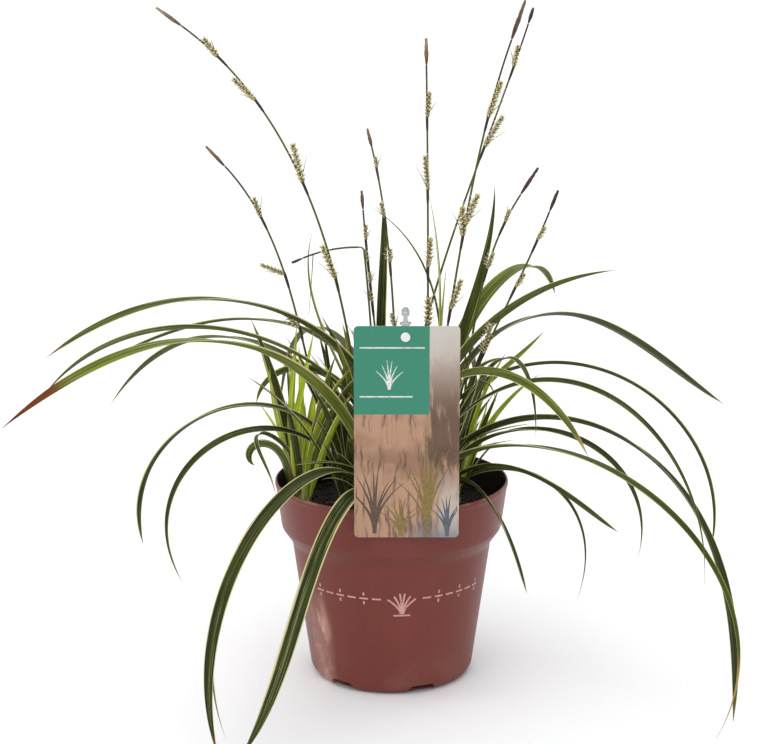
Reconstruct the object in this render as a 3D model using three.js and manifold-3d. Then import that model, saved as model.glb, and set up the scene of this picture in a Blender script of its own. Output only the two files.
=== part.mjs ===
// A variegated carex sedge in its nursery pot, with a plant label on a push-in stake.
// Millimetres, +Z up. The origin is on the pot's axis, at the level the pot stands on.
// Arching strap leaves grow in shoots from the soil, and thin culms carry one brown male
// spike at the tip and straw coloured female spikes below it.

import * as THREE from 'three';
import { mergeVertices } from 'three/addons/utils/BufferGeometryUtils.js';
import Module from 'manifold-3d';

const wasm = await Module();
wasm.setup();

// ---------------------------------------------------------------- driving dimensions

const GAP = 0.3; // clearance between pieces that touch

const RIM_RADIUS = 85;
const POT_HEIGHT = 146;
const BASE_RADIUS = 60; // outer wall at the top of the rounded bottom corner
const CORNER = 9; // radius of the rounded bottom corner
const WALL = 1.5;
const FLOOR = 2; // thickness of the floor
const COLLAR_FOOT_RADIUS = 80.5;
const COLLAR_FOOT_Z = 112.5;
const STEP_RADIUS = 73;
const STEP_Z = 102.5;
const LIP = 1.2; // rounding of the rim
const POT_SIDES = 36;
const NOTCH_COUNT = 6; // drainage notches in the bottom corner
const NOTCH_START = 232; // degrees, the first notch
const NOTCH_WIDTH = 22;
const NOTCH_HEIGHT = 6.5;
const DRAIN_COUNT = 5; // drainage holes in the floor
const DRAIN_RADIUS = 4.5;
const DRAIN_RING = 30;
const DRAIN_SIDES = 10;

const SOIL_Z = 124; // level of the soil
const SOIL_SINK = 2.2; // the soil's surface rolls by this much

const SHEATH_RADIUS = 5.2; // the bundled leaf bases of a shoot, at the soil
const SHEATH_DEPTH = 20;
const SHEATH_RISE = 15;
const SHEATH_SIDES = 7;
const LEAF_SPREAD = 3; // a leaf leaves its shoot this far from the shoot's middle
const BLADE_THICKNESS = 1.3; // at the midrib
const BLADE_FOLD = 0.16; // rise of the edges over the midrib, as a share of the width

const CULM_RADIUS = 1.1;
const CULM_TIP_RADIUS = 0.75;
const CULM_STRIDE = 4; // line stations between the rings of a culm
const KINKED_STRIDE = 2; // the same for a culm that has snapped
const CULM_DEPTH = 15; // length of a culm below the soil's surface
const CULM_HOLE_SIDES = 5;

// How the scales of a spike are raised: sides round it, millimetres from one ring of
// scales to the next, and how far a scale stands out, as a share of the spike's radius.
const FEMALE_SCALES = { sides: 5, ringGap: 4, relief: 0.2 };
const MALE_SCALES = { sides: 5, ringGap: 3, relief: 0.14 };

const CARD_WIDTH = 72;
const CARD_HEIGHT = 149;
const CARD_THICKNESS = 0.8;
const CARD_CORNER = 3;
const CARD_X = 10; // middle of the card
const CARD_FOOT_Z = 128;
const CARD_BACK_Y = -85.8; // the card hangs just clear of the rim
const STUD_RADIUS = 3.3;
const STUD_Z = 269.5;
const STAKE_X = 9;
const STAKE_WIDTH = 5;
const STAKE_THICKNESS = 1.6;
const STAKE_FOOT_Y = -65;
const STAKE_DEPTH = 45;

// ---------------------------------------------------------------- the plant's layout

// Each shoot stands at x, y. A leaf's row holds: the compass turn it leaves in (0 is +X,
// 90 is +Y), how far the turn sweeps by its tip, its length, its lean from upright at the
// base, middle and tip (90 is level, more hangs down), its width, and the roll of the
// blade about its own line at the base and at the tip. Angles in degrees. A tenth number,
// where there is one, is the taper: the higher it is, the longer the blade keeps its width.
// `fill` grows short inner leaves by rule: how many, round which turn, and the seed.

const SHOOTS = [
  {
    name: 'shoot_front_left', x: -9, y: -18,
    leaves: [
      [242, -25, 328, 23, 148, 195, 9.5, 3, -65, 6],
      [233, -7, 312, 24, 147, 202, 6, 32, 4],
      [252, -15, 272, 26, 198, 120, 11, -15, -25, 8],
      [201, -3, 88, -15, 84, 95, 9, 20, 0],
      [212, 23, 402, 2, 90, 112, 9.5, 80, -58, 6],
      [209, 0, 57, 48, 9, 106, 5, 20, 0],
      [191, 0, 68, 13, 49, 122, 6, 10, 0],
    ],
    fill: { count: 5, turn: 225, spread: 75, seed: 1 },
  },
  {
    name: 'shoot_left', x: -4, y: 5,
    leaves: [
      [183, 28, 358, -17, 79, 121, 9.5, 80, -42, 7],
      [202, -55, 362, -6, 90, 138, 8.5, -7, 73],
      [168, 0, 126, 40, -12, 46, 5, 0, 0],
      [185, 0, 120, 24, 35, 28, 5, 0, 0],
    ],
    fill: { count: 6, turn: 180, spread: 80, seed: 51 },
  },
  {
    name: 'shoot_rear_left', x: -12, y: 23,
    leaves: [
      [146, -10, 359, 7, 106, 139, 9, -65, 80],
      [137, 42, 318, -36, 109, 116, 7, -80, 68, 5],
      [159, 2, 209, -12, 70, -20, 5, 30, 60],
      [169, 10, 170, 0, -4, 174, 8, 60, 60, 8],
      [169, 1, 94, 45, 18, 72, 6, -27, 32],
    ],
    fill: { count: 6, turn: 140, spread: 80, seed: 28 },
  },
  {
    name: 'shoot_side_left', x: -33, y: 4,
    leaves: [
      [202, -17, 265, -8, 103, 193, 9.5, -40, 51, 8],
      [208, -34, 251, -3, 123, 210, 7, -6, -45, 5],
    ],
    fill: { count: 7, turn: 190, spread: 120, seed: 93 },
  },
  {
    name: 'shoot_fan_left', x: -64, y: 6,
    leaves: [
      [170, 0, 137, 18, -13, -3, 7, 70, 60],
      [26, -3, 134, -30, 27, 10, 6, 60, 60],
      [165, 0, 105, 14, 25, -2, 6, 60, 50],
      [168, 8, 79, 47, -76, 241, 8.5, 60, 60, 8],
      [150, 189, 146, -9, 62, 174, 5, 20, 40],
    ],
    fill: { count: 7, turn: 100, spread: 150, seed: 158 },
  },
  {
    name: 'shoot_rear', x: 4, y: 36,
    leaves: [
      [104, 23, 223, 50, -27, 5, 7.5, -20, -20, 8],
      [88, 10, 330, 8, 95, 165, 9, 0, 20],
      [62, 20, 320, 8, 90, 170, 9, 0, -20],
      [122, -14, 330, 6, 90, 168, 9, 0, 20],
    ],
    fill: { count: 5, turn: 90, spread: 90, seed: 3 },
  },
  {
    name: 'shoot_rear_right', x: 30, y: 27,
    leaves: [
      [176, -11, 239, -1, -28, 68, 4, 30, 34],
      [121, 1, 230, 0, -23, 26, 5, 40, 40],
      [61, 0, 175, 6, 0, 13, 5, -40, -40],
      [24, -7, 238, -8, 43, -2, 8.5, 80, 24, 4],
      [22, 42, 275, -3, 11, 148, 11, 64, -12, 9],
      [52, -18, 442, -12, 145, 121, 9, 5, -46, 9],
    ],
    fill: { count: 5, turn: 60, spread: 70, seed: 14 },
  },
  {
    name: 'shoot_right', x: 17, y: 12,
    leaves: [
      [10, -19, 248, -5, 39, 83, 8, -71, -68, 4],
      [20, 0, 162, 3, 68, 47, 6.5, -60, 53, 5],
      [25, -2, 136, 33, -22, 99, 8, -50, -77],
      [-20, 5, 365, -2, 94, 190, 7.5, -8, -38, 9],
    ],
    fill: { count: 4, turn: 20, spread: 60, seed: 37 },
  },
  {
    name: 'shoot_front_right', x: 10, y: -7,
    leaves: [
      [312, -5, 275, -14, 73, 139, 7, 80, 24, 9],
      [325, -17, 379, 16, 73, 183, 6, 13, 68, 2],
      [359, -75, 413, 21, 128, 183, 10.5, -46, -7, 9],
      [302, 54, 426, 36, 98, 207, 8, -59, 80, 2],
    ],
    fill: { count: 6, turn: 300, spread: 80, seed: 2 },
  },
  {
    name: 'shoot_side_right', x: 32, y: -5,
    leaves: [
      [323, 49, 245, 7, 97, 193, 9.5, -60, 80, 2],
      [331, 0, 167, 7, 137, 116, 7, -10, -73, 9],
      [345, 38, 196, 19, 145, 201, 4.5, 1, 80, 2],
      [301, -2, 156, 11, 146, 147, 6, -80, -22, 9],
      [-4, -1, 111, -22, 77, 82, 4, -10, -20],
      [346, 0, 93, -29, 86, 75, 4, -10, -20],
    ],
    fill: { count: 6, turn: 340, spread: 80, seed: 293 },
  },
  {
    name: 'shoot_fan_right', x: 46, y: 12,
    leaves: [
      [62, -7, 109, 37, 40, -20, 7, -60, -50],
      [165, 13, 84, -29, 5, 3, 6, 74, 32],
      [20, 0, 80, 8, 33, 11, 6, -50, -50],
      [317, -39, 232, 6, 0, 187, 6, -47, 37],
      [324, -45, 148, 6, -27, 145, 5, 50, -46],
    ],
    fill: { count: 6, turn: 60, spread: 130, seed: 201 },
  },
];

// Each culm stands at x, y and follows the same kind of line as a leaf: turn, sweep, whole
// length with its male spike, and three leans. `male` is the male spike's length and
// thickness. A female spike's row holds: how far its foot is below the culm's tip, its
// length, its thickness, the compass turn it leans to and how far it stands off the stem.
// `kink` is for a culm that has snapped: the share of its line where it did, and the lean
// of the broken part at its start and tip.

const CULMS = [
  {
    name: 'culm_a', x: -14, y: 16, line: [171, 2, 405, 8, 2, 61], male: [22, 4],
    females: [
      [55, 16, 6.5, 330, 11], [96, 22, 6, 200, 11],
      [163, 28, 8, 356, 10], [237, 26, 6.5, 200, 8],
    ],
  },
  {
    name: 'culm_b', x: -27, y: 14, line: [163, 3, 286, 31, -14, 54], male: [20, 3.6],
    females: [[65, 15, 4.5, 340, 10], [110, 19, 4.5, 180, 50], [150, 15, 5, 203, 35]],
  },
  {
    name: 'culm_c', x: 6, y: 24, line: [110, 0, 281, 6, -5, 44], male: [17, 3.4],
    females: [
      [34, 9, 3.6, 340, 8], [73, 12, 3.6, 200, 8],
      [106, 10, 4.2, 340, 8], [153, 10, 4.2, 200, 10],
    ],
  },
  {
    name: 'culm_d', x: -2, y: 16, line: [120, 0, 229, 3, 19, 8], male: [14, 3.2],
    females: [
      [36, 11, 3.6, 20, 6], [52, 9, 3.6, 200, 6],
      [68, 8, 3.6, 340, 6], [82, 9, 3.6, 200, 6],
    ],
  },
  {
    name: 'culm_e', x: 26, y: 20, line: [83, -1, 340, 5, -2, -11], male: [19, 4],
    females: [
      [56, 18, 5, 345, 6], [109, 25, 5, 220, 6],
      [166, 22, 5.8, 308, 8], [209, 21, 8.5, 274, 8],
    ],
  },
  {
    name: 'culm_f', x: 14, y: 2, line: [20, -1, 374, 16, 0, 24], male: [29, 4.6],
    females: [
      [86, 27, 6, 330, 7], [164, 24, 7.2, 340, 14],
      [172, 21, 7.2, 200, 12], [226, 23, 6, 340, 12],
    ],
  },
  {
    name: 'culm_g', x: 9, y: 24, line: [31, -2, 375, -2, 33, 20], male: [12, 3.4],
    females: [[45, 16, 5, 200, 8], [107, 26, 6, 340, 12]],
  },
  {
    name: 'culm_h', x: 40, y: 17, line: [14, 1, 257, 16, -12, 44], male: [23, 3.8],
    females: [[46, 10, 3.6, 236, 8], [82, 13, 4.2, 300, 10]],
  },
  {
    name: 'culm_i', x: 30, y: 9, line: [-2, -4, 249, 9, 34, 19], male: [16, 3.8],
    females: [[38, 11, 4.2, 320, 10], [76, 12, 3.6, 2, 10], [130, 22, 5, 165, 12]],
  },
  {
    name: 'culm_j', x: -10, y: 32, line: [180, 0, 241, 1, 3, 8], male: [9, 2.4],
    kink: [0.78, 88, 118],
    females: [],
  },
];

// ---------------------------------------------------------------- solids

const DEG = Math.PI / 180;

function solidOf(geometry) {
  const bare = geometry.clone();
  bare.deleteAttribute('normal');
  bare.deleteAttribute('uv');
  const merged = mergeVertices(bare, 1e-4);
  const corners = merged.index.array;
  const triVerts = [];
  for (let i = 0; i < corners.length; i += 3) {
    const [a, b, c] = corners.slice(i, i + 3);
    if (a !== b && b !== c && c !== a) triVerts.push(a, b, c);
  }
  return new wasm.Manifold(new wasm.Mesh({
    numProp: 3,
    vertProperties: new Float32Array(merged.attributes.position.array),
    triVerts: new Uint32Array(triVerts),
  }));
}

function geometryOf(solid) {
  const mesh = solid.getMesh();
  const geometry = new THREE.BufferGeometry();
  geometry.setAttribute('position', new THREE.BufferAttribute(mesh.vertProperties, 3));
  geometry.setIndex(new THREE.BufferAttribute(mesh.triVerts, 1));
  geometry.computeVertexNormals();
  return geometry;
}

// Fuses closed geometries into one body. A hollow that the fusing seals is filled.
function joined(geometries) {
  const fused = geometries.map(solidOf).reduce((sum, solid) => sum.add(solid));
  const larger = (one, other) => (other.volume() > one.volume() ? other : one);
  return fused.decompose().reduce(larger);
}

// A closed skin over a stack of rings. Each ring's points run anticlockwise seen from the
// tip, and a single point closes the stack at its foot and at its tip.
function loft(rings, foot, tip) {
  const sides = rings[0].length;
  const points = [foot, ...rings.flat(), tip];
  const at = (ring, k) => 1 + ring * sides + (k % sides);
  const end = points.length - 1;
  const top = rings.length - 1;
  const corners = [];
  for (let k = 0; k < sides; k += 1) {
    corners.push(0, at(0, k + 1), at(0, k));
    for (let ring = 0; ring < top; ring += 1) {
      corners.push(at(ring, k), at(ring, k + 1), at(ring + 1, k + 1));
      corners.push(at(ring, k), at(ring + 1, k + 1), at(ring + 1, k));
    }
    corners.push(end, at(top, k), at(top, k + 1));
  }
  const places = points.flatMap((point) => point.toArray());
  const geometry = new THREE.BufferGeometry();
  geometry.setAttribute('position', new THREE.Float32BufferAttribute(places, 3));
  geometry.setIndex(corners);
  return geometry;
}

// A body turned about a vertical axis from [radius, height] pairs that run from its
// underside, up its outside and back to the axis.
function turned(profile, sides, x = 0, y = 0) {
  const outline = profile.map(([radius, height]) => new THREE.Vector2(radius, height));
  return new THREE.LatheGeometry(outline, sides).rotateX(Math.PI / 2).translate(x, y, 0);
}

// ---------------------------------------------------------------- pot and soil

const lerp = (from, to, share) => from + (to - from) * share;

// The rounded bottom corner, from the foot up to the wall.
function corner(radius, size, bottom, steps) {
  const points = [];
  for (let i = 0; i <= steps; i += 1) {
    const angle = (i / steps) * 90 * DEG;
    points.push([radius - size + size * Math.sin(angle), bottom + size - size * Math.cos(angle)]);
  }
  return points;
}

// The inside of the pot, from the floor's middle up to the rim; `clear` keeps off the wall.
function potInside(clear, top) {
  const inset = WALL + clear;
  const wall = [
    ...corner(BASE_RADIUS - inset, CORNER - WALL, FLOOR + clear, 2),
    [STEP_RADIUS - inset, STEP_Z],
    [COLLAR_FOOT_RADIUS - inset, COLLAR_FOOT_Z],
  ];
  const share = (top - COLLAR_FOOT_Z) / (POT_HEIGHT - COLLAR_FOOT_Z);
  wall.push([lerp(COLLAR_FOOT_RADIUS, RIM_RADIUS, share) - inset, top]);
  return [[0, FLOOR + clear], ...wall];
}

function potSolid() {
  const profile = [
    [0, 0],
    ...corner(BASE_RADIUS, CORNER, 0, 3),
    [STEP_RADIUS, STEP_Z],
    [COLLAR_FOOT_RADIUS, COLLAR_FOOT_Z],
    [RIM_RADIUS, POT_HEIGHT - LIP],
    [RIM_RADIUS - 0.3 * LIP, POT_HEIGHT],
    ...potInside(0, POT_HEIGHT).reverse(),
  ];
  let pot = solidOf(turned(profile, POT_SIDES));
  const notch = new THREE.BoxGeometry(2 * CORNER, NOTCH_WIDTH, 2 * NOTCH_HEIGHT);
  notch.translate(BASE_RADIUS, 0, 0);
  for (let i = 0; i < NOTCH_COUNT; i += 1) {
    const turn = (NOTCH_START + (360 / NOTCH_COUNT) * i) * DEG;
    pot = pot.subtract(solidOf(notch.clone().rotateZ(turn)));
  }
  for (let i = 0; i < DRAIN_COUNT; i += 1) {
    const turn = (360 / DRAIN_COUNT) * i * DEG;
    const drain = new THREE.CylinderGeometry(DRAIN_RADIUS, DRAIN_RADIUS, 3 * FLOOR, DRAIN_SIDES);
    drain.rotateX(Math.PI / 2).translate(DRAIN_RING * Math.cos(turn), DRAIN_RING * Math.sin(turn), 0);
    pot = pot.subtract(solidOf(drain));
  }
  return pot;
}

// How far the soil's surface lies below its level at x, y.
function soilDip(x, y) {
  const swell = Math.sin(x / 11 + 1) * Math.cos(y / 13) + 0.5 * Math.sin(x / 5 + y / 7);
  return SOIL_SINK * (0.5 + swell / 3);
}

function soilSolid(holes) {
  const profile = potInside(GAP, SOIL_Z);
  const edge = profile[profile.length - 1][0];
  const rings = 4;
  for (let i = rings - 1; i >= 0; i -= 1) profile.push([(edge * i) / rings, SOIL_Z]);
  const ground = turned(profile, POT_SIDES);
  const place = ground.attributes.position;
  for (let i = 0; i < place.count; i += 1) {
    if (place.getZ(i) > SOIL_Z - 0.01) place.setZ(i, SOIL_Z - soilDip(place.getX(i), place.getY(i)));
  }
  return holes.map(solidOf).reduce((soil, hole) => soil.subtract(hole), solidOf(ground));
}

// ---------------------------------------------------------------- lines that leaves and stems follow

const LINE_STEPS = 40;

const compass = (degrees) => new THREE.Vector3(Math.cos(degrees * DEG), Math.sin(degrees * DEG), 0);

// Walks a line from its base. The lean from upright runs through three values, at the
// base, middle and tip, and the turn sweeps evenly. Each station has its place, its
// direction, and the level direction across it.
function grow(base, turn, sweep, length, leanFoot, leanMiddle, leanTip, kink = [1, 0, 0]) {
  const [broken, leanBroken, leanEnd] = kink;
  const leanAt = (s) => (s > broken
    ? lerp(leanBroken, leanEnd, (s - broken) / (1 - broken))
    : leanFoot * (1 - s) ** 2 + 2 * leanMiddle * s * (1 - s) + leanTip * s * s);
  const facing = (s) => {
    const lean = leanAt(s) * DEG;
    const out = compass(turn + sweep * s);
    return {
      along: new THREE.Vector3(0, 0, Math.cos(lean)).addScaledVector(out, Math.sin(lean)),
      across: new THREE.Vector3(-out.y, out.x, 0),
    };
  };
  const stations = [{ s: 0, place: base.clone(), ...facing(0) }];
  for (let i = 0; i < LINE_STEPS; i += 1) {
    const { along } = facing((i + 0.5) / LINE_STEPS);
    const place = stations[i].place.clone().addScaledVector(along, length / LINE_STEPS);
    const s = (i + 1) / LINE_STEPS;
    stations.push({ s, place, ...facing(s) });
  }
  return stations;
}

const smooth = (share) => {
  const x = Math.min(1, Math.max(0, share));
  return x * x * (3 - 2 * x);
};

// ---------------------------------------------------------------- leaves

const LONG_TAPER = 3; // a blade that narrows to its tip from its middle on

// Share of the full width: narrow in the sheath, broad in the middle, drawn to a point.
const bladeWidth = (s, taper) => (0.5 + 0.5 * smooth(s / 0.3)) * (1 - s ** taper);

// Stations between the rings of a blade: a long leaf bends in more steps than a short one.
function bladeStride(length) {
  if (length > 250) return 4;
  return length > 150 ? 5 : 10;
}

// One strap leaf, keeled along its midrib.
function blade(base, row) {
  const [turn, sweep, length, leanFoot, leanMiddle, leanTip, width, rollFoot, rollTip] = row;
  const taper = row[9] ?? LONG_TAPER;
  const line = grow(base, turn, sweep, length, leanFoot, leanMiddle, leanTip);
  const stride = bladeStride(length);
  const rings = [];
  for (let i = 0; i < LINE_STEPS; i += stride) {
    const { s, place, along, across } = line[i];
    const roll = lerp(rollFoot, rollTip, s);
    const side = across.clone().applyAxisAngle(along, roll * DEG);
    const up = along.clone().cross(side);
    const half = (width / 2) * bladeWidth(s, taper);
    const rise = 2 * half * BLADE_FOLD;
    rings.push([
      place.clone().addScaledVector(side, half).addScaledVector(up, rise),
      place.clone().addScaledVector(side, -half).addScaledVector(up, rise),
      place.clone().addScaledVector(up, -BLADE_THICKNESS / 2),
    ]);
  }
  return loft(rings, line[0].place, line[LINE_STEPS].place);
}

// Seeded draws between 0 and 1, the same on every run.
function draws(seed) {
  let state = seed;
  for (let i = 0; i < 3; i += 1) state = (state * 16807) % 2147483647;
  return () => {
    state = (state * 16807) % 2147483647;
    return state / 2147483647;
  };
}

// The short leaves inside a shoot.
function fillRows({ count, turn, spread, seed }) {
  const draw = draws(seed);
  const rows = [];
  for (let i = 0; i < count; i += 1) {
    const way = turn + spread * (2 * draw() - 1);
    const length = 60 + 80 * draw();
    const lean = 4 + 16 * draw();
    const bend = 14 * draw();
    const droop = 10 + 45 * draw();
    const width = 5 + 3 * draw();
    const roll = 140 * draw() - 70;
    rows.push([way, 0, length, lean, lean + bend, droop, width, roll, roll]);
  }
  return rows;
}

function sheathProfile(grown) {
  const foot = SOIL_Z - SHEATH_DEPTH - grown;
  return [
    [0, foot],
    [0.6 * SHEATH_RADIUS + grown, foot],
    [SHEATH_RADIUS + grown, SOIL_Z + 1],
    [0.65 * SHEATH_RADIUS + grown, SOIL_Z + SHEATH_RISE + grown],
    [0, SOIL_Z + SHEATH_RISE + 1.5 + grown],
  ];
}

const sheath = ({ x, y }, grown = 0) => turned(sheathProfile(grown), SHEATH_SIDES, x, y);

function shootSolid(shoot) {
  const rows = [...shoot.leaves, ...fillRows(shoot.fill)];
  const middle = new THREE.Vector3(shoot.x, shoot.y, SOIL_Z);
  const blades = rows.map((row) => blade(middle.clone().addScaledVector(compass(row[0]), LEAF_SPREAD), row));
  return joined([sheath(shoot), ...blades]);
}

// ---------------------------------------------------------------- culms and spikes

// A round of points about a place, square to `along`, its first point on `side`.
function round(place, along, side, radii) {
  const up = along.clone().cross(side);
  return radii.map((radius, k) => {
    const angle = (2 * Math.PI * k) / radii.length;
    return place.clone()
      .addScaledVector(side, radius * Math.cos(angle))
      .addScaledVector(up, radius * Math.sin(angle));
  });
}

// A spike of overlapping scales: each ring of the spindle has every other point standing
// out, and the next ring the ones between.
function spike(foot, along, side, length, thickness, { sides, ringGap, relief }) {
  const count = Math.max(4, Math.round(length / ringGap));
  const rings = [];
  for (let ring = 0; ring < count; ring += 1) {
    const share = (ring + 0.5) / count;
    const swell = (thickness / 2) * Math.sin(Math.PI * (0.12 + 0.8 * share)) ** 0.7;
    const radii = [];
    for (let k = 0; k < sides; k += 1) radii.push(swell * (1 + ((k + ring) % 2 ? relief : -relief)));
    rings.push(round(foot.clone().addScaledVector(along, share * length), along, side, radii));
  }
  return loft(rings, foot, foot.clone().addScaledVector(along, length));
}

// Stations of a culm, with the distance of each from the tip of its male spike.
function culmLine(culm) {
  const [turn, sweep, length, ...leans] = culm.line;
  const base = new THREE.Vector3(culm.x, culm.y, SOIL_Z);
  return grow(base, turn, sweep, length, ...leans, culm.kink);
}

const nearest = (line, s) => line[Math.round(s * LINE_STEPS)];

function femaleSpikes(culm, line) {
  const whole = culm.line[2];
  return culm.females.map(([below, length, thickness, way, tilt]) => {
    const { place, along } = nearest(line, 1 - below / whole);
    const out = compass(way);
    out.addScaledVector(along, -out.dot(along)).normalize();
    const side = along.clone().cross(out);
    const axis = along.clone().applyAxisAngle(side, tilt * DEG);
    return spike(place, axis, side, length, thickness, FEMALE_SCALES);
  });
}

function culmSolid(culm) {
  const line = culmLine(culm);
  const whole = culm.line[2];
  const stemEnd = 1 - culm.male[0] / whole;
  const root = line[0].place.clone();
  root.z -= CULM_DEPTH;
  const end = endOf(line, stemEnd);
  const stations = [{ s: 0, place: root, along: new THREE.Vector3(0, 0, 1), across: line[0].across }];
  const stride = culm.kink ? KINKED_STRIDE : CULM_STRIDE;
  for (let i = 0; i < stemEnd * LINE_STEPS - 1; i += stride) stations.push(line[i]);
  stations.push(end);
  const rings = stations.map(({ s, place, along, across }) => {
    const radius = lerp(CULM_RADIUS, CULM_TIP_RADIUS, s);
    return round(place, along, across, [radius, radius, radius]);
  });
  const stem = loft(rings, root, end.place);
  return joined([stem, ...femaleSpikes(culm, line)]);
}

// The station at any share s of a line, between two of its own.
function endOf(line, s) {
  const first = Math.floor(s * LINE_STEPS);
  const share = s * LINE_STEPS - first;
  const { place, along, across } = line[first];
  return { s, place: place.clone().lerp(line[first + 1].place, share), along, across };
}

function maleSolid(culm) {
  const [length, thickness] = culm.male;
  const end = endOf(culmLine(culm), 1 - length / culm.line[2]);
  const foot = end.place.clone().addScaledVector(end.along, GAP);
  return solidOf(spike(foot, end.along, end.across, length - GAP, thickness, MALE_SCALES));
}

function culmHole(culm) {
  const radius = CULM_RADIUS + 2 * GAP;
  const hole = new THREE.CylinderGeometry(radius, radius, 2 * (CULM_DEPTH + GAP), CULM_HOLE_SIDES);
  return hole.rotateX(Math.PI / 2).translate(culm.x, culm.y, SOIL_Z);
}

// ---------------------------------------------------------------- label

// The stake's middle line bends from the soil, inside the rim, to the back of the card.
const STAKE_TOP_Y = CARD_BACK_Y + GAP + STAKE_THICKNESS / 2;
const stakeY = (z) => lerp(STAKE_FOOT_Y, STAKE_TOP_Y, smooth((z - SOIL_Z + 10) / (STUD_Z - 15 - SOIL_Z)));

// Height, half width and half thickness up the stake: its point, its strip, the bar
// above the card, the neck and the knob.
function stakeStations() {
  const half = STAKE_WIDTH / 2;
  const thin = STAKE_THICKNESS / 2;
  const top = CARD_FOOT_Z + CARD_HEIGHT;
  const stations = [[SOIL_Z - STAKE_DEPTH + 8, half, thin]];
  for (let i = 0; i <= 8; i += 1) stations.push([lerp(SOIL_Z - 8, top - 1, i / 8), half, thin]);
  stations.push([top + 0.6, half, thin]);
  stations.push([top + 0.8, 4, thin]);
  stations.push([top + 2.4, 4, thin]);
  stations.push([top + 2.8, 1.5, thin]);
  stations.push([top + 6, 1.5, thin]);
  stations.push([top + 7, 2.8, 1.8]);
  stations.push([top + 10.5, 2.8, 1.8]);
  stations.push([top + 12.4, 1.6, 1.1]);
  return stations;
}

function stakeGeometry(grown) {
  const rings = stakeStations().map(([z, half, thin]) => {
    const y = stakeY(z);
    const w = half + grown;
    const t = thin + grown;
    const corners = [[w, t], [-w, t], [-w, -t], [w, -t]];
    return corners.map(([dx, dy]) => new THREE.Vector3(STAKE_X + dx, y + dy, z));
  });
  const footZ = SOIL_Z - STAKE_DEPTH - grown;
  const tipZ = CARD_FOOT_Z + CARD_HEIGHT + 12.8 + grown;
  const foot = new THREE.Vector3(STAKE_X, stakeY(footZ), footZ);
  const tip = new THREE.Vector3(STAKE_X, stakeY(tipZ), tipZ);
  return loft(rings, foot, tip);
}

const STUD_SHANK = 1.5;

function cardGeometry() {
  const w = CARD_WIDTH / 2;
  const h = CARD_HEIGHT;
  const r = CARD_CORNER;
  const outline = new THREE.Shape();
  outline.moveTo(-w + r, 0);
  outline.lineTo(w - r, 0);
  outline.absarc(w - r, r, r, -90 * DEG, 0);
  outline.absarc(w - r, h - r, r, 0, 90 * DEG);
  outline.absarc(-w + r, h - r, r, 90 * DEG, 180 * DEG);
  outline.absarc(-w + r, r, r, 180 * DEG, 270 * DEG);
  const hole = new THREE.Path();
  hole.absarc(STAKE_X - CARD_X, STUD_Z - CARD_FOOT_Z, STUD_SHANK + GAP, 0, 360 * DEG);
  outline.holes.push(hole);
  const plate = { depth: CARD_THICKNESS, bevelEnabled: false, curveSegments: 4 };
  const card = new THREE.ExtrudeGeometry(outline, plate);
  return card.rotateX(Math.PI / 2).translate(CARD_X, CARD_BACK_Y, CARD_FOOT_Z);
}

function studGeometry() {
  const face = CARD_BACK_Y - CARD_THICKNESS - GAP;
  const profile = [
    [0, face - 1.5],
    [0.8 * STUD_RADIUS, face - 1.3],
    [STUD_RADIUS, face - 0.6],
    [STUD_RADIUS, face],
    [STUD_SHANK, face],
    [STUD_SHANK, CARD_BACK_Y],
    [0, CARD_BACK_Y],
  ];
  const outline = profile.map(([radius, y]) => new THREE.Vector2(radius, y));
  return new THREE.LatheGeometry(outline, 16).translate(STAKE_X, 0, STUD_Z);
}

// ---------------------------------------------------------------- the part

const finish = (color, roughness) => new THREE.MeshStandardMaterial({ color, roughness, metalness: 0 });

const TERRACOTTA = finish('#7a4237', 0.45);
const SOIL = finish('#2a211b', 0.95);
const LEAF = finish('#56692f', 0.5);
const STEM = finish('#5c6034', 0.55);
const MALE_BROWN = finish('#6b4a35', 0.7);
const CARD = finish('#c9b9a4', 0.4);
const CLEAR = finish('#d8dcdc', 0.15);
const WHITE = finish('#eeeeea', 0.35);

const part = new THREE.Group();

function add(name, solid, material) {
  const mesh = new THREE.Mesh(geometryOf(solid), material);
  mesh.name = name;
  part.add(mesh);
}

const holes = [
  ...SHOOTS.map((shoot) => sheath(shoot, GAP)),
  ...CULMS.map(culmHole),
  stakeGeometry(GAP),
];

add('pot', potSolid(), TERRACOTTA);
add('soil', soilSolid(holes), SOIL);
for (const shoot of SHOOTS) add(shoot.name, shootSolid(shoot), LEAF);
for (const culm of CULMS) {
  add(culm.name, culmSolid(culm), STEM);
  add(`${culm.name}_male_spike`, maleSolid(culm), MALE_BROWN);
}
add('label_stake', solidOf(stakeGeometry(0)), CLEAR);
add('label_card', solidOf(cardGeometry()), CARD);
add('label_stud', solidOf(studGeometry()), WHITE);

export default part;
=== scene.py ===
# %% [markdown]
# # A variegated sedge in its nursery pot
#
# This lesson dresses a plain solid model of a potted sedge until it looks like the living
# plant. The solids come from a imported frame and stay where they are: every piece made here
# stands in the same place as the solid that it replaces. Shapes are worked out in
# millimetres, because that is how a plant and a pot are measured, and are turned into
# Blender's metres at the last moment.

# %% Load the frame
import math

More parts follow.
